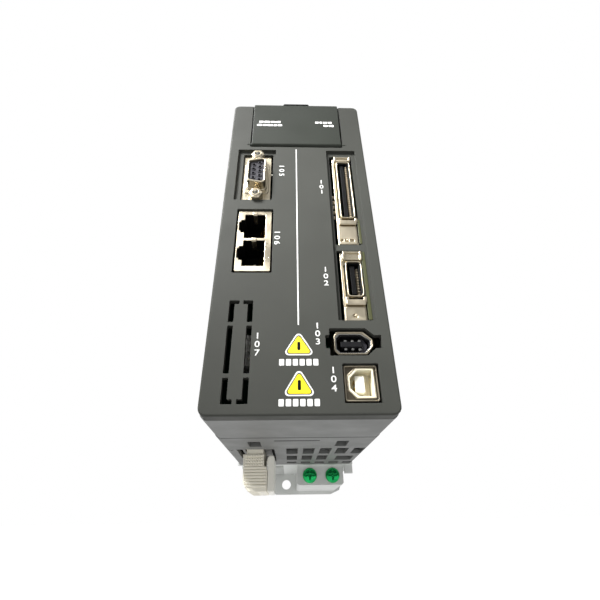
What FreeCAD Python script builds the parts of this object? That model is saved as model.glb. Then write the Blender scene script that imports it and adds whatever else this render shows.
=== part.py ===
"""Servo drive, 65 mm wide, for mounting upright on a panel.

Frame: origin at the centre of the body on its mounting face, +Z towards the top end,
-Y out of the front panel, X across the panel.  Millimetres.
Heights named "up" are measured from the bottom edge of the body and depths named "out"
from the front panel's face, positive towards the user.
"""
import FreeCAD, Part
import math
import os
from types import SimpleNamespace
import Sketcher

doc = FreeCAD.newDocument("ServoDrive")
sheet = doc.addObject("Spreadsheet::Sheet", "Sizes")

SIZES = {
    # body
    "body_width": 65.0, "body_height": 160.0, "body_depth": 170.0, "wall": 2.0,
    "cover_width": 63.5, "cover_height": 158.6, "cover_skirt": 5.8, "cover_face": 2.5,
    "front_case_width": 64.5, "seam_out": -35.0, "seam_gap": 0.5, "case_end_out": -114.0,
    "corner_radius": 2.8, "recess": 1.2, "lip_clearance": 0.15, "lip_thickness": 1.1, "lip_length": 4.0,
    # heat sink
    "base_thickness": 4.0, "fin_thickness": 1.8, "fin_pitch": 6.0, "fin_reach": 32.0,
    "plate_thickness": 4.0, "spine_width": 14.0, "tab_width": 47.0, "tab_reach": 12.2,
    "tab_left": -14.5, "tab_corner": 8.0, "hole_x": -5.5, "hole_reach": 6.2, "hole_radius": 3.0,
    "ground_left": 1.0, "ground_width": 26.2, "ground_reach": 10.4, "ground_out": -117.0,
    "ground_screw_x": 14.6, "ground_screw_pitch": 12.9, "ground_screw_reach": 5.5,
    "ground_thread": 2.0, "ground_head": 4.0, "ground_head_height": 2.6,
    # fan
    "fan_side": 40.0, "fan_height": 10.0, "fan_bore": 19.0, "fan_hub": 9.5, "fan_y": -28.0,
    "fan_inset": 1.0, "fan_shaft": 1.5, "fan_clearance": 0.05, "fan_floor_gap": 1.6,
    # display door and keys
    "door_left": -21.6, "door_right": 21.3, "door_gap": 0.6, "door_axis_up": 127.9,
    "door_axis_out": -0.6, "door_half": 1.4, "door_top_up": 159.2, "door_pin": 0.8,
    "door_pin_clearance": 0.05, "compartment_out": -4.3,
    "key_radius": 2.5, "key_hole_radius": 2.6, "key_pitch": 8.0, "key_up": 134.0,
    "display_half": 15.0, "display_low_up": 142.5, "display_high_up": 153.5,
    # connectors on the panel
    "serial_x": -18.1, "serial_up": 106.4, "jack_pitch": 25.0,
    "ethernet_left": -24.7, "ethernet_right": -10.9, "ethernet_low_up": 54.4,
    "ethernet_height": 31.0, "port_height": 12.6, "port_step": 13.8, "port_inset": 2.4,
    "signal_x": 21.2, "servo_io_up": 99.1, "encoder_up": 51.0, "contact_pitch": 1.27,
    "fieldbus_left": 11.9, "fieldbus_right": 25.3, "fieldbus_low_up": 20.4,
    "fieldbus_high_up": 28.9,
    "usb_left": 14.4, "usb_width": 11.0, "usb_low_up": 4.5, "usb_height": 12.0,
    "knockout_left": -24.9, "knockout_right": -16.4, "knockout_low_up": 3.6,
    "knockout_high_up": 40.9, "knockout_slot": 1.9, "knockout_end_slot": 1.5,
    "knockout_bridge": 1.4,
    # inside and power plugs
    "board": 1.6, "board_side": 29.0, "control_board_out": -16.0, "power_board_out": -92.0,
    "plug_left": -26.0, "plug_right": -13.6, "plug_reach": 16.4, "plug_seat": 8.0,
    "plug_front_out": -71.0, "plug_pole": 8.6, "fit_gap": 0.3,
}


class Size:
    """A length together with the spreadsheet expression that gives it."""

    def __init__(self, value, text=None):
        self.value = float(value)
        self.text = text or repr(float(value))
        self.bound = text is not None

    def _with(self, other, sign, result):
        made = Size(result, f"({self.text} {sign} {size_of(other).text})")
        made.bound = self.bound or size_of(other).bound
        return made

    def __add__(self, other):
        return self._with(other, "+", self.value + size_of(other).value)

    def __sub__(self, other):
        return self._with(other, "-", self.value - size_of(other).value)

    def __mul__(self, other):
        return self._with(other, "*", self.value * size_of(other).value)

    def __truediv__(self, other):
        return self._with(other, "/", self.value / size_of(other).value)

    def __neg__(self):
        return Size(0.0) - self

    def __radd__(self, other):
        return size_of(other) + self

    def __rsub__(self, other):
        return size_of(other) - self

    def __rmul__(self, other):
        return size_of(other) * self


def size_of(number):
    return number if isinstance(number, Size) else Size(number)


def fill_sheet():
    sizes = SimpleNamespace()
    for row, (alias, value) in enumerate(SIZES.items(), 1):
        sheet.set(f"A{row}", alias)
        sheet.set(f"B{row}", str(value))
        sheet.setAlias(f"B{row}", alias)
        setattr(sizes, alias, Size(value, f"Sizes.{alias}"))
    doc.recompute()
    return sizes


d = fill_sheet()
PLANES = {"front": "XZ_Plane", "top": "XY_Plane", "side": "YZ_Plane"}
nodes = {}


def up(height):
    """Z of a height above the bottom edge of the body."""
    return height - d.body_height / 2


def out(depth):
    """Distance in front of the mounting face of a place given from the panel's face."""
    return d.body_depth + depth


def y_of(depth):
    return -out(depth)


def bind(thing, path, size):
    """Set a property to a size and keep it tied to the spreadsheet."""
    thing.setExpression(path, size_of(size).text)


# ---- sketches and PartDesign features ---------------------------------------------------

def rect(left, right, low, high):
    return [(left, low), (right, low), (right, high), (left, high)]


def cut_rect(left, right, low, high, cut):
    """A rectangle with its four corners cut off."""
    return [(left + cut, low), (right - cut, low), (right, low + cut), (right, high - cut),
            (right - cut, high), (left + cut, high), (left, high - cut), (left, low + cut)]


def circle(x, y, radius):
    return SimpleNamespace(x=size_of(x), y=size_of(y), radius=size_of(radius))


def new_body(label):
    body = doc.addObject("PartDesign::Body", label)
    body.Label = label
    nodes[label] = body
    return body


def constrain(sketch, kind, *where):
    size = size_of(where[-1])
    index = sketch.addConstraint(Sketcher.Constraint(kind, *where[:-1], size.value))
    if size.bound:
        name = f"c{index}"
        sketch.renameConstraint(index, name)
        sketch.setExpression(f"Constraints.{name}", size.text)


def draw_polygon(sketch, points):
    points = [(size_of(x), size_of(y)) for x, y in points]
    spots = [FreeCAD.Vector(x.value, y.value, 0) for x, y in points]
    ends = spots[1:] + spots[:1]
    lines = [Part.LineSegment(a, b) for a, b in zip(spots, ends)]
    ids = list(sketch.addGeometry(lines, False))
    for here, following in zip(ids, ids[1:] + ids[:1]):
        sketch.addConstraint(Sketcher.Constraint("Coincident", here, 2, following, 1))
    for here, (x, y) in zip(ids, points):
        constrain(sketch, "DistanceX", -1, 1, here, 1, x)
        constrain(sketch, "DistanceY", -1, 1, here, 1, y)


def draw_circle(sketch, ring):
    centre = FreeCAD.Vector(ring.x.value, ring.y.value, 0)
    curve = Part.Circle(centre, FreeCAD.Vector(0, 0, 1), ring.radius.value)
    here = sketch.addGeometry(curve, False)
    constrain(sketch, "Radius", here, ring.radius)
    constrain(sketch, "DistanceX", -1, 1, here, 3, ring.x)
    constrain(sketch, "DistanceY", -1, 1, here, 3, ring.y)


def new_sketch(body, plane, offset, outlines):
    sketch = body.newObject("Sketcher::SketchObject", "Sketch")
    origin = [f for f in body.Origin.OriginFeatures if f.Role == PLANES[plane]][0]
    sketch.AttachmentSupport = [(origin, "")]
    sketch.MapMode = "FlatFace"
    bind(sketch, "AttachmentOffset.Base.z", offset)
    for outline in outlines:
        if isinstance(outline, SimpleNamespace):
            draw_circle(sketch, outline)
        else:
            draw_polygon(sketch, outline)
    return sketch


def pad(body, plane, low, high, *outlines):
    """Add material between two offsets along the plane's normal."""
    feature = body.newObject("PartDesign::Pad", "Pad")
    feature.Profile = new_sketch(body, plane, low, outlines)
    bind(feature, "Length", size_of(high) - low)
    doc.recompute()
    return feature


def pocket(body, plane, low, high, *outlines):
    """Cut between two offsets along the plane's normal, and make sure that it cuts."""
    before = body.Shape.Volume
    feature = body.newObject("PartDesign::Pocket", "Pocket")
    feature.Profile = new_sketch(body, plane, high, outlines)
    bind(feature, "Length", size_of(high) - low)
    doc.recompute()
    if body.Shape.Volume > before - 1e-3:
        raise RuntimeError(f"a pocket in {body.Label} cuts nothing")
    return feature


def round_edges(body, radius, chosen):
    """Fillet the edges of the body that the test picks."""
    base = body.Tip
    picked = [f"Edge{i}" for i, edge in enumerate(base.Shape.Edges, 1) if chosen(edge)]
    feature = body.newObject("PartDesign::Fillet", "Fillet")
    feature.Base = (base, picked)
    bind(feature, "Radius", radius)
    doc.recompute()


def runs_along(edge, axis):
    """Whether a straight edge runs along axis 0, 1 or 2."""
    if not isinstance(edge.Curve, Part.Line):
        return False
    return abs(abs(edge.tangentAt(edge.FirstParameter)[axis]) - 1) < 1e-6


# ---- Part primitives --------------------------------------------------------------------

def block(x, y, z):
    """A box between pairs of low and high places."""
    box = doc.addObject("Part::Box", "Block")
    for side, axis, (low, high) in zip(("Length", "Width", "Height"), "xyz", (x, y, z)):
        bind(box, side, size_of(high) - low)
        bind(box, f"Placement.Base.{axis}", low)
    return box


TURNS = {"x": FreeCAD.Rotation(FreeCAD.Vector(0, 1, 0), 90),
         "y": FreeCAD.Rotation(FreeCAD.Vector(1, 0, 0), -90),
         "z": FreeCAD.Rotation()}


def rod(axis, across, along, radius):
    """A cylinder along an axis: across gives the two other coordinates of its centre."""
    cylinder = doc.addObject("Part::Cylinder", "Rod")
    cylinder.Placement.Rotation = TURNS[axis]
    low, high = along
    bind(cylinder, "Radius", radius)
    bind(cylinder, "Height", size_of(high) - low)
    others = [name for name in "xyz" if name != axis]
    for name, place in [(axis, low)] + list(zip(others, across)):
        bind(cylinder, f"Placement.Base.{name}", place)
    return cylinder


def hexagon_rod(x, z, low, high, across_flats):
    """A hexagonal bar along Y."""
    bar = doc.addObject("Part::Prism", "Hexagon")
    bar.Polygon = 6
    bar.Placement.Rotation = TURNS["y"]
    bind(bar, "Circumradius", across_flats / math.sqrt(3))
    bind(bar, "Height", size_of(high) - low)
    for name, place in (("x", x), ("y", low), ("z", z)):
        bind(bar, f"Placement.Base.{name}", place)
    return bar


def join(pieces, label=None):
    made = doc.addObject("Part::MultiFuse", label or "Join")
    made.Shapes = list(pieces)
    return keep(made, label)


def carve(base, tools, label=None):
    made = doc.addObject("Part::Cut", label or "Carve")
    made.Base = base
    made.Tool = tools[0] if len(tools) == 1 else join(tools)
    return keep(made, label)


def group(pieces, label):
    """Identical pieces that share one node as separate solids."""
    made = doc.addObject("Part::Compound", label)
    made.Links = list(pieces)
    return keep(made, label)


def keep(made, label):
    if label:
        made.Label = label
        nodes[label] = made
    return made


def depths(front, back):
    """A pair of Y places from two depths, the nearer to the user first."""
    return (y_of(front), y_of(back))


def heights(low, high):
    return (up(low), up(high))


# ---- casings ----------------------------------------------------------------------------

def mirrored(points, axis_x):
    return [(2 * axis_x - x, y) for x, y in points]


def knockout_slots():
    """Six slots that leave a plate held by six thin bridges."""
    left, right = d.knockout_left, d.knockout_right
    low, high = up(d.knockout_low_up), up(d.knockout_high_up)
    slot, end = d.knockout_slot, d.knockout_end_slot
    middle = (left + right) / 2
    half_bridge = d.knockout_bridge / 2
    upper, lower = high - 9.4, low + 9.2
    top_corner = [(left, upper + half_bridge), (left + slot, upper + half_bridge),
                  (left + slot, high - end), (middle - half_bridge, high - end),
                  (middle - half_bridge, high), (left, high)]
    low_corner = [(left, low), (middle - half_bridge, low), (middle - half_bridge, low + end),
                  (left + slot, low + end), (left + slot, lower - half_bridge),
                  (left, lower - half_bridge)]
    side = rect(left, left + slot, lower + half_bridge, upper - half_bridge)
    shapes = [top_corner, low_corner, side]
    return shapes + [mirrored(points, middle) for points in shapes]


def key_places():
    names = ("key_mode", "key_up", "key_down", "key_shift", "key_set")
    return [(name, d.key_pitch * (index - 2)) for index, name in enumerate(names)]


def front_cover():
    body = new_body("front_cover")
    half_width = d.cover_width / 2
    pad(body, "front", out(-d.cover_skirt), out(0),
        rect(-half_width, half_width, up(0), up(d.cover_height)))
    round_edges(body, d.corner_radius, lambda edge: runs_along(edge, 1))
    inner = half_width - d.wall
    shoulder_left = rect(-inner, d.door_left - 2.9, up(128.6), up(156.4))
    shoulder_right = rect(d.door_right + 2.9, inner, up(128.6), up(156.4))
    main_hollow = rect(-inner, inner, up(0) + d.wall, up(124.4))
    pocket(body, "front", out(-d.cover_skirt), out(-d.cover_face),
           main_hollow, shoulder_left, shoulder_right)
    pocket(body, "front", out(d.compartment_out), out(0),
           rect(d.door_left - d.door_gap, d.door_right + d.door_gap,
                up(d.door_axis_up) - d.door_half - 0.5, up(d.body_height)))
    # windows in the floor behind the door: digits, keys, charge lamp, door catch
    floor_holes = [rect(-d.display_half, d.display_half,
                        up(d.display_low_up), up(d.display_high_up)),
                   circle(18.4, up(148.0), 1.6),
                   rect(-3.0, 3.0, up(155.4), up(158.0))]
    floor_holes += [circle(x, up(d.key_up), d.key_hole_radius) for _, x in key_places()]
    pocket(body, "front", out(-d.cover_skirt) - 0.1, out(d.compartment_out) + 0.1, *floor_holes)
    # shallow recesses round the serial connector and the two signal connectors
    pocket(body, "front", out(-d.recess), out(0),
           [(-27.4, up(91.2)), (-11.0, up(91.2)), (-11.0, up(119.3)), (-9.8, up(119.3)),
            (-9.8, up(123.9)), (-27.4, up(123.9))])
    pocket(body, "front", out(-d.recess), out(0), rect(13.9, 27.5, up(32.8), up(123.8)))
    fieldbus = [(10.3, up(19.6)), (23.0, up(19.6)), (25.9, up(22.2)), (28.2, up(22.2)),
                (28.2, up(27.1)), (25.7, up(27.1)), (22.8, up(29.7)), (10.3, up(29.7)),
                (10.3, up(27.1)), (8.9, up(27.1)), (8.9, up(22.2)), (10.3, up(22.2))]
    pocket(body, "front", out(-d.cover_skirt), out(0.1),
           rect(-24.8, -11.0, up(91.2), up(121.6)),
           rect(-25.3, -10.2, up(53.1), up(85.7)),
           rect(15.2, 25.6, up(67.6), up(120.8)),
           rect(15.2, 25.6, up(32.8), up(64.6)),
           fieldbus,
           rect(14.0, 26.0, up(3.7), up(16.8)),
           *knockout_slots())
    # blind holes in the shoulders for the door's hinge pins
    hinge = circle(y_of(d.door_axis_out), up(d.door_axis_up), d.door_pin + d.door_pin_clearance)
    pocket(body, "side", d.door_left - 2.6, d.door_left - 0.5, hinge)
    pocket(body, "side", d.door_right + 0.5, d.door_right + 2.6, hinge)


def front_case():
    body = new_body("front_case")
    half, tall = d.front_case_width / 2, d.body_height / 2
    back = out(d.seam_out) + d.seam_gap / 2
    pad(body, "front", back, out(-d.cover_skirt), rect(-half, half, -tall, tall))
    round_edges(body, d.corner_radius, lambda edge: runs_along(edge, 1))
    inner_x, inner_z = half - d.wall, tall - d.wall
    pocket(body, "front", back, out(-d.cover_skirt),
           rect(-inner_x, inner_x, -inner_z, inner_z))
    # lip that enters the rear case, on a thicker band inside this one
    lip_x = d.body_width / 2 - d.wall - d.lip_clearance
    lip_z = tall - d.wall - d.lip_clearance
    ring = rect(-lip_x + d.lip_thickness, lip_x - d.lip_thickness,
                -lip_z + d.lip_thickness, lip_z - d.lip_thickness)
    pad(body, "front", back, back + d.lip_length,
        rect(-half + 1, half - 1, -tall + 1, tall - 1), ring)
    pad(body, "front", back - d.lip_length, back + 1,
        rect(-lip_x, lip_x, -lip_z, lip_z), ring)


VENT_LEFT = -4.8
VENT_PITCH = 7.6
VENT_WIDTH = 5.2
VENT_ROWS = ((-75.3, -59.8), (-95.4, -81.0), (-109.0, -102.2))


def vent_slots(columns, skip=()):
    """Rectangular slots in rows across an end wall, as seen in plan."""
    slots = []
    for row, (back, front) in enumerate(VENT_ROWS):
        for column in columns:
            if (row, column) in skip:
                continue
            left = VENT_LEFT + column * VENT_PITCH
            slots.append(rect(left, left + VENT_WIDTH, y_of(front), y_of(back)))
    return slots


def rear_case():
    body = new_body("rear_case")
    half, tall = d.body_width / 2, d.body_height / 2
    front = out(d.seam_out) - d.seam_gap / 2
    pad(body, "front", out(d.case_end_out), front, rect(-half, half, -tall, tall))
    round_edges(body, d.corner_radius, lambda edge: runs_along(edge, 1))
    pocket(body, "front", out(d.case_end_out), front,
           rect(-half + d.wall, half - d.wall, -tall + d.wall, tall - d.wall))
    motor_pocket = rect(-27.0, -10.2, y_of(-61.3), y_of(-99.5))
    latch_windows = [rect(-20.5, -15.3, y_of(-43.0), y_of(-54.6)),
                     rect(16.0, 21.0, y_of(-42.6), y_of(-54.6))]
    pry_slot = rect(-9.6, 8.9, y_of(-40.9), y_of(-41.9))
    corner_slot = rect(-31.0, -28.4, y_of(-62.0), y_of(-63.2))
    wide_vent = rect(20.2, 28.6, y_of(-82.4), y_of(-96.8))
    bottom = vent_slots(range(5), skip=((1, 3), (1, 4)))
    pocket(body, "top", -tall - 0.5, -tall + d.wall + 0.5, motor_pocket, *latch_windows,
           pry_slot, corner_slot, wide_vent, *bottom)
    mains_pocket = rect(-27.0, -10.2, y_of(-44.0), y_of(-99.5))
    brake_pocket = rect(12.2, 28.6, y_of(-61.3), y_of(-99.5))
    pocket(body, "top", tall - d.wall - 0.5, tall + 0.5, mains_pocket, brake_pocket,
           *vent_slots(range(2)))
    # clearance holes for the screws into the heat sink's front plate
    holes = [circle(y_of(-110.0), height, 1.6) for height in (-62.0, 62.0)]
    pocket(body, "side", -half - 0.5, -half + d.wall + 0.5, *holes)
    pocket(body, "side", half - d.wall - 0.5, half + 0.5, *holes)


# ---- heat sink, fan, screws -------------------------------------------------------------

def heat_sink():
    body = new_body("heat_sink")
    tall = d.body_height / 2
    half = d.body_width / 2
    end = y_of(d.case_end_out)
    pad(body, "top", -tall, tall, rect(-half, half, -d.base_thickness, 0))
    pad(body, "top", -tall, tall, rect(-half, half, end, end + d.plate_thickness))
    pad(body, "top", -tall, tall,
        rect(-d.spine_width / 2, d.spine_width / 2, end, -d.base_thickness))
    fins = []
    for number in range(6):
        middle = -10.0 - number * d.fin_pitch
        fins.append(rect(-d.fin_reach, d.fin_reach, middle - d.fin_thickness / 2,
                         middle + d.fin_thickness / 2))
    pad(body, "top", -tall, tall, *fins)
    # step that enters the case and carries the side screws
    pad(body, "front", out(d.case_end_out), out(-107.0),
        rect(-half + d.wall + 0.2, half - d.wall - 0.2, -tall + d.wall + 0.2,
             tall - d.wall - 0.2))
    # mounting tabs at both ends
    left, right = d.tab_left, d.tab_left + d.tab_width
    reach, corner = d.tab_reach, d.tab_corner
    tab = [(left, tall - 4), (left, tall + reach - 2), (left + 2, tall + reach),
           (right - corner, tall + reach), (right - corner * 0.293, tall + reach - corner * 0.293),
           (right, tall + reach - corner), (right, tall - 4)]
    pad(body, "front", 0, d.base_thickness, tab, [(x, -z) for x, z in tab])
    # pedestal for the protective earth screws
    low = -tall - d.ground_reach
    pad(body, "front", 0, out(d.ground_out),
        cut_rect(d.ground_left, d.ground_left + d.ground_width, low, -tall + 5, 1.0))
    pad(body, "front", out(-118.0), out(-115.6), rect(28.0, half, -tall - 4.6, -tall + 3))
    screws = [circle(x, -tall - d.ground_screw_reach, d.ground_thread + 0.05)
              for x in ground_screw_places()]
    pocket(body, "front", out(d.ground_out) - 9, out(d.ground_out) + 0.1, *screws)
    pocket(body, "front", -0.1, d.base_thickness + 0.1,
           *[circle(d.hole_x, sign * (tall + d.hole_reach), d.hole_radius) for sign in (-1, 1)])
    # bay for the fan at the top end
    bay = d.fan_side / 2 + d.fit_gap
    pocket(body, "top", tall - d.fan_height - d.fan_inset - d.fan_floor_gap, tall + 0.1,
           rect(-bay, bay, d.fan_y - bay, d.fan_y + bay))
    for height in (-62.0, 62.0):
        for side in (-1, 1):
            outer = side * (half - d.wall)
            low_x, high_x = sorted((outer, outer - side * 8), key=lambda size: size.value)
            pocket(body, "side", low_x - 0.1, high_x + 0.1,
                   circle(y_of(-110.0), height, 1.3))


def ground_screw_places():
    return [d.ground_screw_x - d.ground_screw_pitch / 2,
            d.ground_screw_x + d.ground_screw_pitch / 2]


def ground_screws():
    z = -d.body_height / 2 - d.ground_screw_reach
    face = y_of(d.ground_out)
    screws = []
    for x in ground_screw_places():
        head = rod("y", (x, z), (face - d.ground_head_height, face), d.ground_head)
        shank = rod("y", (x, z), (face, face + 8), d.ground_thread)
        cross = [block((x - 2.2, x + 2.2), (face - 3, face - 1.3), (z - 0.45, z + 0.45)),
                 block((x - 0.45, x + 0.45), (face - 3, face - 1.3), (z - 2.2, z + 2.2))]
        screws.append(carve(join([head, shank]), cross))
    group(screws, "ground_screws")


def case_screws():
    screws = []
    y = y_of(-110.0)
    for side in (-1, 1):
        wall = side * d.body_width / 2
        for z in (-62.0, 62.0):
            head_ends = sorted((wall, wall + side * 1.2), key=lambda size: size.value)
            shank_ends = sorted((wall, wall - side * 7), key=lambda size: size.value)
            screws.append(join([rod("x", (y, z), head_ends, 2.6),
                                rod("x", (y, z), shank_ends, 1.25)]))
    group(screws, "case_screws")


def fan():
    top = d.body_height / 2 - d.fan_inset
    low = top - d.fan_height
    half = d.fan_side / 2
    frame = new_body("fan_frame")
    pad(frame, "top", low, top, rect(-half, half, d.fan_y - half, d.fan_y + half),
        circle(0, d.fan_y, d.fan_bore))
    pad(frame, "top", low, low + 1.4, circle(0, d.fan_y, d.fan_hub))
    arm = d.fan_bore + 0.4
    pad(frame, "top", low, low + 1.4, rect(-arm, arm, d.fan_y - 1, d.fan_y + 1))
    pad(frame, "top", low, low + 1.4, rect(-1, 1, d.fan_y - arm, d.fan_y + arm))
    pocket(frame, "top", low - 0.1, low + 1.5, circle(0, d.fan_y, d.fan_shaft))
    corner = half - 4
    pocket(frame, "top", low - 0.1, top + 0.1,
           *[circle(x, d.fan_y + y, 1.6) for x in (-corner, corner) for y in (-corner, corner)])
    shaft = rod("z", (0, d.fan_y), (low - 0.8, low + 3), d.fan_shaft - d.fan_clearance)
    hub = rod("z", (0, d.fan_y), (low + 1.9, top - 0.6), d.fan_hub)
    middle = (low + top) / 2 + 0.6
    blades = [fan_blade(middle, 360.0 / 7 * number) for number in range(7)]
    join([shaft, hub] + blades, "fan_rotor")
    screws = []
    for x in (-corner, corner):
        for y in (-corner, corner):
            place = (x, d.fan_y + y)
            screws.append(join([rod("z", place, (top, top + 0.9), 2.5),
                                rod("z", place, (low - 0.5, top), 1.45)]))
    group(screws, "fan_screws")


def fan_blade(middle, turn):
    """A flat blade set at an angle, reaching from inside the hub to near the frame."""
    blade = doc.addObject("Part::Box", "Blade")
    reach = d.fan_bore - 0.7 - (d.fan_hub - 1.5)
    bind(blade, "Length", reach)
    blade.Width = 1.1
    blade.Height = 7.6
    tilt = FreeCAD.Placement(FreeCAD.Vector(), FreeCAD.Rotation(FreeCAD.Vector(1, 0, 0), 38))
    centre = FreeCAD.Vector(d.fan_hub.value - 1.5, -0.55, -3.8)
    spin = FreeCAD.Placement(FreeCAD.Vector(0, d.fan_y.value, middle.value),
                             FreeCAD.Rotation(FreeCAD.Vector(0, 0, 1), turn))
    blade.Placement = spin * tilt * FreeCAD.Placement(centre, FreeCAD.Rotation())
    return blade


# ---- display compartment ----------------------------------------------------------------

def display_door():
    axis_z, axis_out = up(d.door_axis_up), d.door_axis_out
    across = (d.door_left, d.door_right)
    front, back = y_of(axis_out + d.door_half), y_of(axis_out - d.door_half)
    slab = block(across, (front, back), (axis_z, up(d.door_top_up)))
    barrel = rod("x", (y_of(axis_out), axis_z), across, d.door_half)
    pins = rod("x", (y_of(axis_out), axis_z), (d.door_left - 2.2, d.door_right + 2.2),
               d.door_pin)
    tab = block((-7.0, 6.8), (front, front + 1.5), (up(d.door_top_up) - 1, up(d.door_top_up) + 1.1))
    catch = block((-2.5, 2.5), (back - 0.2, back + 3.0), heights(156.2, 157.3))
    join([slab, barrel, pins, tab, catch], "display_cover")


def keypad():
    floor_back = y_of(-d.cover_skirt)
    board_face = y_of(-10.4)
    z = up(d.key_up)
    for name, x in key_places():
        stem = rod("y", (x, z), (y_of(-3.4), floor_back + 1.5), d.key_radius)
        flange = rod("y", (x, z), (floor_back + 0.3, floor_back + 1.6), d.key_radius + 0.9)
        join([stem, flange], name)
    group([block((x - 3, x + 3), (board_face - 2.2, board_face), (z - 3, z + 3))
           for _, x in key_places()], "key_switches")
    block_board = block((-22.0, 22.0), (board_face, board_face + d.board), heights(128.0, 157.0))
    keep(block_board, "display_board")
    inset = 0.2
    across = (-d.display_half + inset, d.display_half - inset)
    tall = (up(d.display_low_up) + inset, up(d.display_high_up) - inset)
    keep(block(across, (y_of(-5.3), board_face), tall), "display_module")
    keep(block(across, (y_of(-4.5), y_of(-5.3)), tall), "display_lens")
    lamp = rod("y", (18.4, up(148.0)), (y_of(-4.6), board_face), 1.45)
    collar = rod("y", (18.4, up(148.0)), (y_of(-6.0), board_face), 1.9)
    join([lamp, collar], "charge_lamp")


# ---- signal connectors ------------------------------------------------------------------

def signal_connector(prefix, centre_up, rows, top_up, low_up):
    """A ribbon connector: metal shell with latch blocks and insulator; returns contacts."""
    x, z = d.signal_x, up(centre_up)
    half_long = (rows - 1) * d.contact_pitch / 2 + 2.3
    rim_x = 3.1
    shell = new_body(f"{prefix}_shell")
    flange = out(-2.2)
    pad(shell, "front", out(-3.0), flange, rect(x - 4.7, x + 4.1, up(low_up), up(top_up)))
    pad(shell, "front", out(-13.0), out(-0.5),
        cut_rect(x - rim_x, x + rim_x, z - half_long, z + half_long, 0.9))
    pad(shell, "front", flange - 0.2, out(-0.6),
        rect(x - 3.7, x + 3.7, z + half_long + 0.6, up(top_up) - 0.2),
        rect(x - 4.0, x + 3.2, z - half_long - 3.6, z - half_long - 0.9))
    pad(shell, "front", flange - 0.2, out(-1.2),
        rect(x - 4.6, x + 2.8, up(low_up) + 0.1, z - half_long - 3.5))
    pocket(shell, "front", out(-13.1), out(-0.4),
           cut_rect(x - rim_x + 0.5, x + rim_x - 0.5, z - half_long + 0.5, z + half_long - 0.5,
                    0.7))
    pocket(shell, "front", out(-3.1), out(-1.1), circle(x - 1.4, up(low_up) + 1.9, 0.9))
    insulator = new_body(f"{prefix}_insulator")
    inset = 0.55
    pad(insulator, "front", out(-13.0), out(-5.0),
        cut_rect(x - rim_x + inset, x + rim_x - inset, z - half_long + inset,
                 z + half_long - inset, 0.8))
    pad(insulator, "front", out(-5.1), out(-1.6),
        rect(x - 0.8, x + 0.8, z - half_long + 1.4, z + half_long - 1.4))
    contacts = []
    for row in range(rows):
        height = z + (row - (rows - 1) / 2) * d.contact_pitch
        for side in (-1, 1):
            inner = x + side * 0.8
            ends = sorted((inner, inner + side * 0.35), key=lambda size: size.value)
            contacts.append(block(ends, depths(-2.0, -5.0), (height - 0.3, height + 0.3)))
    return contacts


def fieldbus_connector():
    left, right = d.fieldbus_left, d.fieldbus_right
    low, high = up(d.fieldbus_low_up), up(d.fieldbus_high_up)
    middle = (low + high) / 2

    def outline(inset):
        edge_left, edge_right = left + inset, right - inset
        edge_low, edge_high = low + inset, high - inset
        return [(edge_left + 1.4, edge_low), (edge_right - 2.4, edge_low),
                (edge_right, middle - 1.0), (edge_right, middle + 1.2),
                (edge_right - 3.4, edge_high), (edge_left + 1.4, edge_high),
                (edge_left, edge_high - 1.6), (edge_left, edge_low + 1.6)]

    shell = new_body("fieldbus_shell")
    pad(shell, "front", out(-14.0), out(-1.0), outline(0.0))
    pocket(shell, "front", out(-14.1), out(-0.9), outline(0.6))
    tongue = new_body("fieldbus_insulator")
    pad(tongue, "front", out(-14.0), out(-9.0), outline(0.65))
    pad(tongue, "front", out(-9.1), out(-2.6), rect(left + 2.2, right - 4.6, middle - 1.1,
                                                    middle + 1.1))
    contacts = []
    for column in range(3):
        x = left + 3.9 + column * 2.5
        contacts.append(block((x - 0.6, x + 0.6), depths(-3.2, -9.0),
                              (middle + 1.1, middle + 1.45)))
        contacts.append(block((x - 0.6, x + 0.6), depths(-3.2, -9.0),
                              (middle - 1.45, middle - 1.1)))
    group(contacts, "fieldbus_contacts")


def usb_connector():
    left, low = d.usb_left, up(d.usb_low_up)
    right, high = left + d.usb_width, low + d.usb_height
    mouth = [(left + 4.0, low + 1.2), (right - 1.5, low + 1.2), (right - 1.5, high - 1.2),
             (left + 4.0, high - 1.2), (left + 1.4, high - 3.8), (left + 1.4, low + 3.8)]
    shell = new_body("usb_shell")
    pad(shell, "front", out(-14.0), out(-0.9), rect(left, right, low, high))
    pocket(shell, "front", out(-14.1), out(-0.8), mouth)
    insulator = new_body("usb_insulator")
    pad(insulator, "front", out(-14.0), out(-10.0), mouth)
    x, z = (left + right) / 2 - 0.3, (low + high) / 2
    pad(insulator, "front", out(-10.1), out(-2.6), rect(x - 1.6, x + 1.6, z - 2.8, z + 2.8))
    contacts = []
    for side in (-1, 1):
        inner = x + side * 1.6
        ends = sorted((inner, inner + side * 0.25), key=lambda size: size.value)
        for row in (-1.25, 1.25):
            contacts.append(block(ends, depths(-3.4, -10.0), (z + row - 0.5, z + row + 0.5)))
    group(contacts, "usb_contacts")


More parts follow.
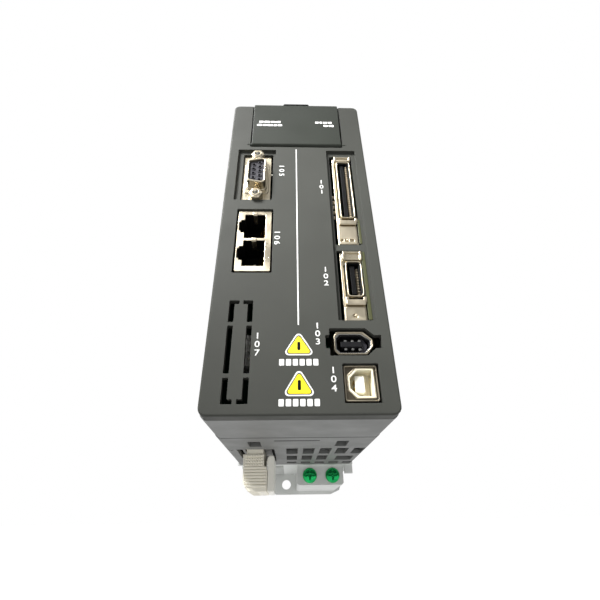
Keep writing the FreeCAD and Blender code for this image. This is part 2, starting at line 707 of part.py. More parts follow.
def serial_connector():
    x, z = d.serial_x, up(d.serial_up)

    def mouth(inset):
        half_x, half_z = 4.0 - inset, 8.1 - inset
        return [(x - half_x, z - half_z + 1.5), (x + half_x, z - half_z),
                (x + half_x, z + half_z), (x - half_x, z + half_z - 1.5)]

    shell = new_body("serial_shell")
    pad(shell, "front", out(-3.0), out(-2.1), rect(x - 6.5, x + 6.2, z - 15.2, z + 15.0))
    pad(shell, "front", out(-9.0), out(3.3), mouth(0.0))
    pocket(shell, "front", out(-9.1), out(3.4), mouth(0.5))
    pocket(shell, "front", out(-3.1), out(-2.0),
           *[circle(x, z + side * d.jack_pitch / 2, 1.7) for side in (-1, 1)])
    insulator = new_body("serial_insulator")
    pad(insulator, "front", out(-9.0), out(2.6), mouth(0.55))
    rows = [circle(x + 1.4, z + 2.76 * (number - 2), 0.6) for number in range(5)]
    rows += [circle(x - 1.4, z + 2.76 * (number - 1.5), 0.6) for number in range(4)]
    pocket(insulator, "front", out(-4.0), out(2.7), *rows)
    jacks = []
    for side in (-1, 1):
        height = z + side * d.jack_pitch / 2
        hexagon = hexagon_rod(x, height, y_of(1.6), y_of(-2.1), 5.0)
        thread = rod("y", (x, height), depths(-2.1, -8.0), 1.5)
        hole = rod("y", (x, height), depths(1.7, -3.0), 1.2)
        jacks.append(carve(join([hexagon, thread]), [hole]))
    group(jacks, "serial_jackscrews")


def port_outline(low):
    """Mouth of one modular jack, lying on its side with the latch notch to the left."""
    right = d.ethernet_right - d.port_inset
    left = right - 8.6
    high = low + d.port_height
    middle = (low + high) / 2
    return [(left, low), (right, low), (right, high), (left, high), (left, middle + 3.4),
            (left - 1.5, middle + 3.4), (left - 1.5, middle + 2.4), (left - 2.3, middle + 2.4),
            (left - 2.3, middle - 2.4), (left - 1.5, middle - 2.4), (left - 1.5, middle - 3.4),
            (left, middle - 3.4)]


def port_lows():
    first = up(d.ethernet_low_up) + 2.4
    return [first, first + d.port_step]


def ethernet_connector():
    left, right = d.ethernet_left, d.ethernet_right
    low = up(d.ethernet_low_up)
    high = low + d.ethernet_height
    ports = [port_outline(place) for place in port_lows()]
    shield = new_body("ethernet_shield")
    pad(shield, "front", out(-15.8), out(-0.8), rect(left, right, low, high))
    pocket(shield, "front", out(-15.9), out(-1.3),
           rect(left + 0.35, right - 0.35, low + 0.35, high - 0.35))
    pocket(shield, "front", out(-1.4), out(-0.7), *ports)
    housing = new_body("ethernet_housing")
    pad(housing, "front", out(-15.8), out(-1.35),
        rect(left + 0.4, right - 0.4, low + 0.4, high - 0.4))
    pocket(housing, "front", out(-13.0), out(-1.3), *ports)
    contacts = []
    wall_x = right - d.port_inset
    for place in port_lows():
        for number in range(8):
            z = place + d.port_height / 2 + (number - 3.5) * 1.02
            contacts.append(block((wall_x - 1.2, wall_x), depths(-6.0, -6.5), (z - 0.2, z + 0.2)))
    group(contacts, "ethernet_contacts")


def expansion_header():
    housing = block((-22.4, -16.2), depths(-9.0, -16.0), heights(19.6, 31.4))
    pins = []
    for row in range(4):
        for x in (-20.6, -18.0):
            pins.append(rod("y", (x, up(21.7 + 2.54 * row)), depths(-6.5, -9.5), 0.35))
    join([housing] + pins, "expansion_header")


# ---- inside -----------------------------------------------------------------------------

def boards():
    side = d.board_side
    control = block((-side, side), depths(d.control_board_out, d.control_board_out - d.board),
                    heights(4.0, 125.0))
    keep(control, "control_board")
    face = d.control_board_out - d.board
    chips = [block((-4.0, 12.0), depths(face, face - 1.6), heights(70.0, 86.0)),
             block((-16.0, -6.0), depths(face, face - 1.2), heights(96.0, 106.0)),
             block((2.0, 10.0), depths(face, face - 1.2), heights(36.0, 46.0))]
    group(chips, "control_chips")
    power = block((-side, side), depths(d.power_board_out, d.power_board_out - d.board),
                  heights(19.0, 141.0))
    keep(power, "power_board")
    link = block((24.0, 28.5), depths(face, d.power_board_out), heights(52.0, 84.0))
    keep(link, "board_link")
    posts = [rod("y", (x, up(height)), depths(face, d.power_board_out), 2.5)
             for x in (-26.0, 26.0) for height in (24.0, 118.0)]
    group(posts, "board_standoffs")


def power_stage():
    front = d.power_board_out
    back = front - d.board
    cans = [rod("y", (6.0, up(height)), depths(front + 40, front), 11.0)
            for height in (106.0, 130.0)]
    group(cans, "bus_capacitors")
    keep(block((-4.0, 18.0), depths(front + 20, front), heights(64.0, 90.0)),
         "switching_transformer")
    keep(block((-8.0, 8.0), depths(front + 16, front), heights(22.0, 44.0)), "inrush_relay")
    keep(block((-9.0, 16.0), depths(front + 15, front), heights(47.0, 60.0)),
         "filter_capacitor")
    keep(block((-26.0, -14.0), depths(front + 18, front), heights(66.0, 76.0)),
         "current_sensors")
    keep(block((-20.0, 20.0), depths(back - 4.6, back - 12.6), heights(30.0, 74.0)),
         "power_module")
    keep(block((-12.0, 12.0), depths(back - 4.6, back - 12.6), heights(96.0, 116.0)),
         "rectifier_bridge")
    pad_face = back - 12.6
    group([block((-20.0, 20.0), depths(pad_face, -107.0), heights(30.0, 74.0)),
           block((-12.0, 12.0), depths(pad_face, -107.0), heights(96.0, 116.0))],
          "thermal_pads")
    keep(block((-28.5, -19.5), depths(front + 30, front + 18), heights(82.0, 112.0)),
         "brake_resistor")


# ---- power plugs ------------------------------------------------------------------------

def power_plug(prefix, left, poles, end, mirror=False):
    """A pluggable terminal block and its header in the drive; returns the header's pins.

    end is -1 for the bottom end and +1 for the top end.
    """
    width = d.plug_right - d.plug_left
    right = left + width
    wall_z = end * d.body_height / 2
    tip, seat = wall_z + end * d.plug_reach, wall_z - end * d.plug_seat
    front = d.plug_front_out if poles == 3 else d.plug_front_out + 17.2
    back = front - poles * d.plug_pole
    cut = 3.4
    grip = [(left + 1.0, wall_z + end * 0.3), (left + 1.4, tip - end * cut),
            (left + cut + 0.8, tip), (right, tip), (right, wall_z + end * 7.0),
            (right - 1.7, wall_z + end * 5.5), (right - 1.7, wall_z + end * 0.3)]
    lever = [(right - 0.1, wall_z + end * 6.0), (right - 0.1, tip), (right + 3.1, tip),
             (right + 3.1, wall_z + end * 1.0), (right + 0.6, wall_z + end * 1.0),
             (right + 0.6, wall_z + end * 6.0)]
    if mirror:
        grip, lever = [mirrored(points, (left + right) / 2) for points in (grip, lever)]
    body = new_body(f"{prefix}_plug")
    pad(body, "front", out(back), out(front), grip)
    pad(body, "front", out(back) + 1.4, out(front) - 0.4, lever)
    stem = (left + 1.5, right - 2.1)
    low, high = sorted((wall_z + end * 0.4, seat), key=lambda size: size.value)
    pad(body, "front", out(back) + 1, out(front) - 1, rect(*stem, low, high))
    grooves = []
    for number in range(8):
        height = wall_z + end * (2.2 + 1.25 * number)
        grooves.append(rect(left + 2.2, right - 2.4, height - 0.3, height + 0.3))
    pocket(body, "front", out(front) - 0.45, out(front) + 0.1, *grooves)
    middle = (stem[0] + stem[1]) / 2
    poles_y = [y_of(front - d.plug_pole * (number + 0.5)) for number in range(poles)]
    entry = sorted((tip + end * 0.1, tip - end * 9), key=lambda size: size.value)
    pocket(body, "top", entry[0], entry[1],
           *[cut_rect(middle - 1.9, middle + 1.9, y - 1.9, y + 1.9, 0.6) for y in poles_y])
    socket = sorted((seat - end * 0.1, seat + end * 6.5), key=lambda size: size.value)
    pocket(body, "top", socket[0], socket[1], *[circle(middle, y, 1.2) for y in poles_y])
    # header and pins
    gap = d.fit_gap
    header = new_body(f"{prefix}_header")
    inner_z, outer_z = wall_z - end * (d.wall + gap), wall_z - end * 18
    low, high = sorted((inner_z, outer_z), key=lambda size: size.value)
    pad(header, "front", out(back) - 1.6, out(front) + 5.5,
        rect(left - 0.2, right + 1.6, low, high))
    mouth = sorted((inner_z + end * 0.1, seat - end * gap), key=lambda size: size.value)
    pocket(header, "top", mouth[0], mouth[1],
           rect(stem[0] - gap, stem[1] + gap, y_of(front - 1 + gap), y_of(back + 1 - gap)))
    pin_z = sorted((seat + end * 5.5, outer_z), key=lambda size: size.value)
    drill = sorted((seat, outer_z - end * 0.1), key=lambda size: size.value)
    pocket(header, "top", drill[0], drill[1], *[circle(middle, y, 0.85) for y in poles_y])
    return [rod("z", (middle, y), pin_z, 0.8) for y in poles_y]


# ---- build, check, write ----------------------------------------------------------------

def build():
    front_cover()
    front_case()
    rear_case()
    heat_sink()
    ground_screws()
    case_screws()
    fan()
    display_door()
    keypad()
    contacts = signal_connector("servo_io", d.servo_io_up, 25, 120.6, 67.9)
    contacts += signal_connector("encoder", d.encoder_up, 10, 64.3, 33.1)
    group(contacts, "signal_contacts")
    fieldbus_connector()
    usb_connector()
    serial_connector()
    ethernet_connector()
    expansion_header()
    boards()
    power_stage()
    pins = power_plug("motor", d.plug_left, 3, -1)
    pins += power_plug("mains", d.plug_left, 5, 1)
    pins += power_plug("brake", d.plug_left + 40.4, 3, 1, mirror=True)
    group(pins, "power_pins")
    doc.recompute()


def check():
    for thing in doc.Objects:
        if "Invalid" in thing.State or "Error" in thing.State:
            raise RuntimeError(f"{thing.Label} failed: {thing.State}")
    for label, thing in nodes.items():
        shape = thing.Shape
        if shape.isNull() or not shape.isValid() or not shape.Solids:
            raise RuntimeError(f"{label} has no valid solid")


def write():
    os.makedirs("parts", exist_ok=True)
    for label, thing in nodes.items():
        thing.Shape.exportStep(f"parts/{label}.step")
        box = thing.Shape.BoundBox
        print(f"{label:24s} {len(thing.Shape.Solids):3d} solids  "
              f"{box.XLength:7.1f} {box.YLength:7.1f} {box.ZLength:7.1f}")
    print(len(nodes), "nodes")


build()
check()
write()
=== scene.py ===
"""Looks of the servo drive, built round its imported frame.  Outlines are in millimetres."""
import math

import bmesh
import bpy
from mathutils import Matrix, Vector


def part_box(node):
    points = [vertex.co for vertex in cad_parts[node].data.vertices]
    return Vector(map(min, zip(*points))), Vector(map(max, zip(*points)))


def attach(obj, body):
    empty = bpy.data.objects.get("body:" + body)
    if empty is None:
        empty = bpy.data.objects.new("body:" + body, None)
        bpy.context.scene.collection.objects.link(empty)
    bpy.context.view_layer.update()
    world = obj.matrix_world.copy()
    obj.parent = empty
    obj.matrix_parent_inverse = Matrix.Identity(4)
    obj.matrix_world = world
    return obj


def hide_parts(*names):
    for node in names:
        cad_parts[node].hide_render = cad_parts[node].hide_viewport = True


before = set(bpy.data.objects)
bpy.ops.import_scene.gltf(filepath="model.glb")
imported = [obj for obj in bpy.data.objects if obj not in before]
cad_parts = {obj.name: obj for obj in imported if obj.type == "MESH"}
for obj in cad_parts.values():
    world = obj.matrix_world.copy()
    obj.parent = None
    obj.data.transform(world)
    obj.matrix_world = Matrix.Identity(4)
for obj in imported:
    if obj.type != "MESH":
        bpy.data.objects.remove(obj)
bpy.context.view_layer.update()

MM = 0.001


def box_mm(node):
    """The lowest and highest corners of a CAD node, in millimetres."""
    low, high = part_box(node)
    return Vector(low) / MM, Vector(high) / MM


def centre_of(node):
    """X and Z of a CAD node's middle, in millimetres."""
    low, high = box_mm(node)
    return tuple(((low + high) / 2).xz)


PANEL_LOW, PANEL_HIGH = box_mm("front_cover")
FACE_Y = PANEL_LOW.y
BASE_Z = PANEL_LOW.z


def up(height):
    """Z of a height above the bottom edge of the body."""
    return BASE_Z + height


def y_of(outwards):
    """Y of a place in front of the panel's face (negative: behind it)."""
    return FACE_Y - outwards


# ---- materials ----

def srgb(red, green, blue):
    """Linear colour from the usual 0 to 255 numbers."""
    parts = [part / 255 for part in (red, green, blue)]
    linear = [part / 12.92 if part < 0.04045 else ((part + 0.055) / 1.055) ** 2.4
              for part in parts]
    return (*linear, 1.0)


def node_of(tree, kind, **values):
    made = tree.nodes.new(kind)
    for name, value in values.items():
        if name in made.inputs:
            made.inputs[name].default_value = value
        else:
            setattr(made, name, value)
    return made


def link(source, output, target, socket):
    """Join a node's output to another node's input."""
    source.id_data.links.new(source.outputs[output], target.inputs[socket])


def noise_of(tree, scale, detail):
    """Noise fixed to the object, scale in cycles per millimetre."""
    place = node_of(tree, "ShaderNodeTexCoord")
    noise = node_of(tree, "ShaderNodeTexNoise", Scale=scale / MM, Detail=detail)
    link(place, "Object", noise, "Vector")
    return noise


def ramp_of(tree, source, output, low, high, start=0.3, end=0.7):
    """A colour ramp between two stops, driven by an output of the source node."""
    ramp = node_of(tree, "ShaderNodeValToRGB")
    ramp.color_ramp.elements[0].position = start
    ramp.color_ramp.elements[1].position = end
    ramp.color_ramp.elements[0].color = low
    ramp.color_ramp.elements[1].color = high
    link(source, output, ramp, "Fac")
    return ramp


def shade(colour, factor):
    return (*[min(1.0, part * factor) for part in colour[:3]], 1.0)


def grey(value):
    return (value, value, value, 1.0)


def material(name, colour, roughness, metallic=0.0, grain=2.0, bump=0.02, mottle=0.06,
             smudge=0.15, rounding=0.22, **extra):
    """A moulded or plated surface: fine grain, faint mottling, uneven gloss, soft edges.

    colour is in the usual 0 to 255 numbers, grain in cycles per millimetre, bump and
    rounding in millimetres.
    """
    made = bpy.data.materials.new(name)
    made.use_nodes = True
    tree = made.node_tree
    colour = srgb(*colour)
    shader = tree.nodes["Principled BSDF"]
    shader.inputs["Metallic"].default_value = metallic
    for key, value in extra.items():
        shader.inputs[key].default_value = value
    patches = noise_of(tree, 0.035, 3.0)
    tint = ramp_of(tree, patches, "Fac", shade(colour, 1 - mottle), shade(colour, 1 + mottle))
    link(tint, "Color", shader, "Base Color")
    wear = noise_of(tree, 0.09, 5.0)
    gloss = ramp_of(tree, wear, "Fac", grey(roughness * (1 - smudge)),
                    grey(min(1.0, roughness * (1 + smudge))))
    link(gloss, "Color", shader, "Roughness")
    fine = noise_of(tree, grain, 2.0)
    relief = node_of(tree, "ShaderNodeBump", Strength=1.0, Distance=bump * MM)
    link(fine, "Fac", relief, "Height")
    corner = node_of(tree, "ShaderNodeBevel", samples=4, Radius=rounding * MM)
    link(corner, "Normal", relief, "Normal")
    link(relief, "Normal", shader, "Normal")
    return made


DULL = {"Specular IOR Level": 0.12}
COVER = material("cover_plastic", (64, 65, 61), 0.55, grain=3.0, bump=0.012, **DULL)
DOOR = material("door_plastic", (48, 51, 46), 0.46, grain=3.0, bump=0.010, **DULL)
CASE = material("case_plastic", (104, 105, 103), 0.5, grain=3.0, bump=0.012)
BLACK = material("black_plastic", (9, 9, 10), 0.5, **DULL)
GREY = material("grey_plastic", (60, 59, 64), 0.5, **DULL)
HEADER = material("header_plastic", (150, 150, 148), 0.5)
BEIGE = material("beige_plastic", (240, 235, 219), 0.5, mottle=0.03)
WHITE = material("white_plastic", (232, 230, 220), 0.45, mottle=0.03)
PALE = material("pale_plastic", (212, 212, 206), 0.45, mottle=0.03)
NICKEL = material("nickel", (196, 186, 164), 0.34, metallic=1.0, bump=0.006, grain=1.2,
                  smudge=0.5, mottle=0.12)
BRONZE = material("bronzed_nickel", (104, 97, 84), 0.4, metallic=1.0, bump=0.004)
CREAM = material("cream_plastic", (236, 230, 206), 0.5, mottle=0.03)
LEVER = material("lever_plastic", (236, 234, 224), 0.32, mottle=0.03)
STEEL = material("steel", (190, 190, 188), 0.3, metallic=1.0, bump=0.004, smudge=0.4)
ALUMINIUM = material("aluminium", (214, 216, 213), 0.45, metallic=0.5, bump=0.02,
                     grain=1.5, smudge=0.3)
GOLD = material("gold_contact", (214, 176, 92), 0.25, metallic=1.0, bump=0.002)
GREEN = material("green_plating", (32, 176, 96), 0.1, metallic=0.9, bump=0.16,
                 grain=0.55, mottle=0.3, rounding=0.35)
# olive paint standing for the shaded side of the plated flange beside the ribbon connectors:
# painted shade
FLANGE_SHADE_OLIVE = material("painted_flange_shade", (60, 62, 30), 0.5, mottle=0.2)
# pale tin: the real colour of the leads and the rivet, and a painted highlight on the right-wall
# contact leaves
TIN_AND_LEAF_HIGHLIGHT = material("tinned_leads_and_leaf_highlight", (190, 176, 150), 0.45, metallic=0.1)
BOARD = material("solder_resist", (14, 44, 30), 0.4, mottle=0.2, **DULL)
CHIP = material("component", (24, 24, 26), 0.5, **DULL)
TAPE = material("winding_tape", (200, 178, 70), 0.4)
THERMAL = material("thermal_pad", (170, 174, 180), 0.8)
RED = material("lamp_red", (190, 30, 20), 0.2)
LENS = material("tinted_lens", (70, 14, 12), 0.12, mottle=0.0, **{"Transmission Weight": 0.4})
INK = material("white_ink", (226, 226, 223), 0.6, bump=0.002, mottle=0.02)
YELLOW = material("yellow_ink", (240, 218, 20), 0.5, bump=0.002, mottle=0.02)

NODES_OF_MATERIAL = (
    (COVER, "front_cover"),
    (CASE, "front_case rear_case"),
    (ALUMINIUM, "heat_sink"),
    (GREEN, "ground_screws"),
    (STEEL, "case_screws fan_screws serial_jackscrews board_standoffs"),
    (BLACK, "fan_frame fan_rotor servo_io_insulator encoder_insulator fieldbus_insulator "
            "ethernet_housing"),
    (DOOR, "display_cover"),
    (PALE, "key_mode key_up key_down key_shift key_set expansion_header"),
    (CHIP, "key_switches display_module control_chips board_link bus_capacitors inrush_relay "
           "current_sensors power_module rectifier_bridge"),
    (BOARD, "display_board control_board power_board"),
    (LENS, "display_lens"),
    (RED, "charge_lamp"),
    (NICKEL, "servo_io_shell encoder_shell fieldbus_shell usb_shell serial_shell "
             "ethernet_shield"),
    (GOLD, "signal_contacts fieldbus_contacts usb_contacts ethernet_contacts power_pins"),
    (WHITE, "usb_insulator brake_resistor"),
    (GREY, "serial_insulator"),
    (TAPE, "switching_transformer filter_capacitor"),
    (THERMAL, "thermal_pads"),
    (BEIGE, "motor_plug mains_plug brake_plug"),
    (HEADER, "motor_header mains_header brake_header"),
)


def paint_nodes():
    """Give every carried-over CAD node its material."""
    for paint, names in NODES_OF_MATERIAL:
        for name in names.split():
            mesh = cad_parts[name].data
            mesh.materials.clear()
            mesh.materials.append(paint)


# ---- building pieces in millimetres ----

# local x, y and normal of each drawing plane, as columns in the row frame
PLANES = {
    "front": Matrix(((1, 0, 0), (0, 0, -1), (0, 1, 0))).to_4x4(),
    "top": Matrix.Identity(4),
    "side": Matrix(((0, 0, 1), (1, 0, 0), (0, 1, 0))).to_4x4(),
}


def out(depth):
    """Offset along the front plane's normal of a place in front of the panel's face."""
    return depth - FACE_Y


def rect(left, right, low, high):
    return [(left, low), (right, low), (right, high), (left, high)]


def rounded(points, radius, steps=5):
    """The outline with its corners rounded; radius is one number or one for each corner."""
    radii = radius if isinstance(radius, (list, tuple)) else [radius] * len(points)
    made = []
    for index, corner in enumerate(points):
        here = Vector(corner)
        back = Vector(points[index - 1]) - here
        on = Vector(points[(index + 1) % len(points)]) - here
        half = back.angle(on) / 2
        if radii[index] <= 0 or half > math.radians(89):
            made.append(tuple(here))
            continue
        reach = min(radii[index] / math.tan(half), back.length * 0.49, on.length * 0.49)
        size = reach * math.tan(half)
        centre = here + (back.normalized() + on.normalized()).normalized() * size / math.sin(half)
        first = here + back.normalized() * reach - centre
        last = here + on.normalized() * reach - centre
        sweep = first.angle_signed(last)
        for step in range(steps + 1):
            spoke = first.copy()
            spoke.rotate(Matrix.Rotation(-sweep * step / steps, 2))
            made.append(tuple(centre + spoke))
    return made


def soft_rect(left, right, low, high, radius):
    return rounded(rect(left, right, low, high), radius)


def block(x, y, half_x, half_y, radius):
    """A rounded rectangle about its centre."""
    return soft_rect(x - half_x, x + half_x, y - half_y, y + half_y, radius)


def border(low, high, inset, radius):
    """A rounded rectangle inside a box as seen from the front."""
    return soft_rect(low.x + inset, high.x - inset, low.z + inset, high.z - inset, radius)


def circle(x, y, radius, steps=28):
    return [(x + radius * math.cos(math.tau * step / steps),
             y + radius * math.sin(math.tau * step / steps)) for step in range(steps)]


def mesh_from(name, form):
    """The bmesh as a new mesh; the bmesh itself is used up."""
    mesh = bpy.data.meshes.new(name)
    form.to_mesh(mesh)
    form.free()
    return mesh


def cleaned(mesh):
    form = bmesh.new()
    form.from_mesh(mesh)
    bmesh.ops.remove_doubles(form, verts=form.verts, dist=1e-4)
    bmesh.ops.recalc_face_normals(form, faces=form.faces)
    form.to_mesh(mesh)
    form.free()
    return mesh


def mesh_of(curve):
    """The curve's shape as a mesh; the curve itself is used up."""
    holder = bpy.data.objects.new("shape", curve)
    mesh = bpy.data.meshes.new_from_object(holder)
    bpy.data.objects.remove(holder)
    bpy.data.curves.remove(curve)
    return mesh


def plate(plane, low, high, loops, edge=0.15, steps=2):
    """A slab between two offsets along the plane's normal, its edges rounded.

    A loop inside another is a hole.
    """
    curve = bpy.data.curves.new("outline", "CURVE")
    curve.dimensions = "2D"
    curve.fill_mode = "BOTH"
    curve.extrude = (high - low) / 2 - edge
    curve.bevel_depth = edge
    curve.bevel_resolution = steps
    curve.offset = -edge
    for loop in loops:
        spline = curve.splines.new("POLY")
        spline.points.add(len(loop) - 1)
        for point, (x, y) in zip(spline.points, loop):
            point.co = (x, y, 0, 1)
        spline.use_cyclic_u = True
    mesh = mesh_of(curve)
    mesh.transform(PLANES[plane] @ Matrix.Translation((0, 0, (low + high) / 2)))
    return cleaned(mesh)


def slab(back, front, loops, edge=0.15, steps=2):
    """A plate parallel to the panel; back and front are measured out from the panel's face."""
    return plate("front", out(back), out(front), loops, edge, steps)


def turned(plane, centre, profile, steps=40):
    """A solid of revolution; the profile gives (radius, offset along the plane's normal)."""
    form = bmesh.new()
    rings = []
    for radius, offset in profile:
        places = circle(*centre, radius, steps) if radius else [centre]
        rings.append([form.verts.new((*place, offset)) for place in places])
    for first, second in zip(rings, rings[1:]):
        for step in range(steps):
            corners = []
            for ring, number in ((first, step), (first, step + 1), (second, step + 1),
                                 (second, step)):
                corner = ring[number % len(ring)]
                if corner not in corners:
                    corners.append(corner)
            if len(corners) > 2:
                form.faces.new(corners)
    mesh = mesh_from("turned", form)
    mesh.transform(PLANES[plane])
    return cleaned(mesh)


def spun(centre, profile, steps=40):
    """A turned solid on an axis out of the panel; offsets are measured from its face."""
    return turned("front", centre, [(radius, out(place)) for radius, place in profile], steps)


def combine(mesh, operation, *others):
    """The mesh after a boolean operation with each of the others."""
    for other in others:
        target, tool = placed("target", mesh), placed("tool", other)
        modifier = target.modifiers.new("cut", "BOOLEAN")
        modifier.operation = operation
        modifier.solver = "EXACT"
        modifier.object = tool
        graph = bpy.context.evaluated_depsgraph_get()
        mesh = bpy.data.meshes.new_from_object(target.evaluated_get(graph))
        mesh.materials.clear()
        bpy.data.objects.remove(target)
        bpy.data.objects.remove(tool)
    return mesh


def carve(mesh, *others):
    return combine(mesh, "DIFFERENCE", *others)


def wire(points, radius):
    """A round wire through points given in the row frame."""
    curve = bpy.data.curves.new("wire", "CURVE")
    curve.dimensions = "3D"
    curve.bevel_depth = radius
    curve.bevel_resolution = 2
    curve.use_fill_caps = True
    spline = curve.splines.new("NURBS")
    spline.points.add(len(points) - 1)
    for point, place in zip(spline.points, points):
        point.co = (*place, 1)
    spline.order_u = 3
    spline.use_endpoint_u = True
    spline.resolution_u = 4
    return mesh_of(curve)


def numeral(text, x, y, height, offset, degrees):
    """Numerals printed on the front plane, turned by that many degrees."""
    curve = bpy.data.curves.new("numeral", "FONT")
    curve.body = text
    curve.size = height
    curve.align_x = "CENTER"
    curve.align_y = "CENTER"
    curve.extrude = 0.02
    curve.offset = 0.04
    mesh = mesh_of(curve)
    spin = Matrix.Rotation(math.radians(degrees), 4, "Z") @ Matrix.Diagonal((1.2, 1, 1, 1))
    mesh.transform(PLANES["front"] @ Matrix.Translation((x, y, offset)) @ spin)
    return mesh


SHARP_DEGREES = 38  # edges that bend more than this stay sharp


def placed(name, data):
    """A new object in the scene."""
    holder = bpy.data.objects.new(name, data)
    bpy.context.scene.collection.objects.link(holder)
    return holder


def piece(name, body, parts, slot, *stands_for):
    """Join (mesh, material) parts into one object that rides on a body.

    The parts are in millimetres and the object in metres.
    """
    made = bpy.data.meshes.new(name)
    form = bmesh.new()
    paints = []
    for mesh, paint in parts:
        if paint not in paints:
            paints.append(paint)
            made.materials.append(paint)
        start = len(form.faces)
        form.from_mesh(mesh)
        form.faces.ensure_lookup_table()
        for face in form.faces[start:]:
            face.material_index = paints.index(paint)
            face.smooth = True
    bmesh.ops.scale(form, vec=(MM, MM, MM), verts=form.verts)
    form.to_mesh(made)
    form.free()
    made.set_sharp_from_angle(angle=math.radians(SHARP_DEGREES))
    holder = placed(name, made)
    weighted = holder.modifiers.new("normals", "WEIGHTED_NORMAL")
    weighted.keep_sharp = True
    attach(holder, body)
    if stands_for:
        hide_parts(*stands_for)


# ---- front cover and its marks ----

DOOR_LEFT, DOOR_RIGHT, DOOR_GAP = -21.6, 21.3, 0.6
DOOR_AXIS_OUT, DOOR_AXIS_UP, DOOR_HALF = -0.6, 127.9, 1.4
DOOR_TOP_UP = 159.2
# depths behind the panel's face, and the thickness of the cover's side walls
RECESS, DOOR_BAY, PANEL_SKIN, SIDE_WALL = 1.2, 4.3, 2.5, 2.0
KEY_HOLE, LAMP_HOLE = 2.6, 1.6
KEYS = ("key_mode", "key_up", "key_down", "key_shift", "key_set")


def mirrored(points, axis_x):
    return [(2 * axis_x - x, y) for x, y in points]


def knockout_slots():
    """Slots round a plate that six thin bridges hold."""
    left, right = -24.9, -16.4
    low, high = up(3.6), up(40.9)
    slot, end, half_bridge = 1.9, 1.5, 0.7
    middle = (left + right) / 2
    upper, lower = high - 9.4, low + 9.2
    top_corner = [(left, upper + half_bridge), (left + slot, upper + half_bridge),
                  (left + slot, high - end), (middle - half_bridge, high - end),
                  (middle - half_bridge, high), (left, high)]
    low_corner = [(left, low), (middle - half_bridge, low), (middle - half_bridge, low + end),
                  (left + slot, low + end), (left + slot, lower - half_bridge),
                  (left, lower - half_bridge)]
    side = rect(left, left + slot, lower + half_bridge, upper - half_bridge)
    shapes = [rounded(points, 0.25, 2) for points in (top_corner, low_corner, side)]
    return shapes + [mirrored(points, middle) for points in shapes]


def make_front_cover():
    """The connector panel: a hollow tray with a bay for the lid, recesses and openings."""
    low, high = PANEL_LOW, PANEL_HIGH
    back, face = -high.y, -low.y
    body = plate("front", back, face, [border(low, high, 0, 2.8)], 0.7, 4)
    left, right = DOOR_LEFT - DOOR_GAP, DOOR_RIGHT + DOOR_GAP
    door_bay = rounded(rect(left, right, up(126.0), up(165)), [0.8, 0.8, 0, 0])
    serial_recess = rounded([(-27.4, up(91.2)), (-11.0, up(91.2)), (-11.0, up(119.3)),
                             (-9.8, up(119.3)), (-9.8, up(123.9)), (-27.4, up(123.9))], 0.5)
    signal_recess = soft_rect(13.9, 27.5, up(32.8), up(123.8), 0.5)
    body = carve(body, plate("front", out(-DOOR_BAY), face + 2, [door_bay], 0),
                 plate("front", out(-RECESS), face + 2, [serial_recess, signal_recess], 0))
    inner = high.x - SIDE_WALL
    hollow = [rect(-inner, inner, low.z + SIDE_WALL, up(124.4)),
              rect(-inner, DOOR_LEFT - 2.9, up(128.6), up(156.4)),
              rect(DOOR_RIGHT + 2.9, inner, up(128.6), up(156.4))]
    body = carve(body, plate("front", back - 1, out(-PANEL_SKIN), hollow, 0))
    fieldbus = rounded([(10.3, up(19.6)), (23.0, up(19.6)), (25.9, up(22.2)), (28.2, up(22.2)),
                        (28.2, up(27.1)), (25.7, up(27.1)), (22.8, up(29.7)), (10.3, up(29.7)),
                        (10.3, up(27.1)), (8.9, up(27.1)), (8.9, up(22.2)), (10.3, up(22.2))],
                       0.3, 3)
    openings = [soft_rect(-24.8, -11.0, up(91.2), up(121.6), 0.4),
                soft_rect(-25.3, -10.2, up(53.1), up(85.7), 0.5),
                soft_rect(15.2, 25.6, up(67.6), up(120.8), 0.4),
                soft_rect(15.2, 25.6, up(32.8), up(64.6), 0.4),
                fieldbus, soft_rect(14.0, 26.0, up(3.7), up(16.8), 0.4)]
    openings += knockout_slots()
    openings.append(border(*box_mm("display_lens"), -0.2, 0.5))
    openings.append(circle(*centre_of("charge_lamp"), LAMP_HOLE))
    openings.append(soft_rect(-3.0, 3.0, up(155.4), up(158.0), 0.3))
    openings += [circle(*centre_of(key), KEY_HOLE) for key in KEYS]
    body = carve(body, plate("front", back - 1, face + 1, openings, 0))
    ribs = [rect(left - 0.3, left + 0.5, up(148), up(158.4)),
            rect(right - 0.5, right + 0.3, up(148), up(158.4))]
    parts = [(body, COVER), (slab(-DOOR_BAY, -0.5, ribs, 0.05), DOOR)]
    piece("front_cover_shell", "drive", parts, "cover_plastic", "front_cover")


def triangle(x, low, high, half, radius):
    return rounded([(x - half, low), (x + half, low), (x, high)], radius)


def make_joint_shadow():
    """Painted shadow: a black ring standing slightly proud in the joint between the halves of the
    case, and a black liner painting the shade in the pry slot behind it.
    """
    low, high = box_mm("front_case")
    proud = 0.02
    rings = [border(low, high, -proud, 2.7), border(low, high, 1.1 - proud, 1.8)]
    # painted shadow: a black ring, wider than the real gap, for the shade in the joint
    joint_shadow = plate("front", -high.y + 3.35, -high.y + 4.15, rings, 0)
    # painted shade: a black liner flush in the pry slot
    slot = plate("top", low.z - proud, low.z + 1.6,
                 [rect(-9.5, 8.8, y_of(-40.6), y_of(-42.2))], 0)
    piece("case_joint_shadow", "drive", [(joint_shadow, BLACK), (slot, BLACK)], "black_plastic")


# the lowest and highest points of the two caution triangles, and the thickness of print
CAUTION_MARKS = ((19.7, 28.8), (6.0, 15.4))
PRINT = 0.04


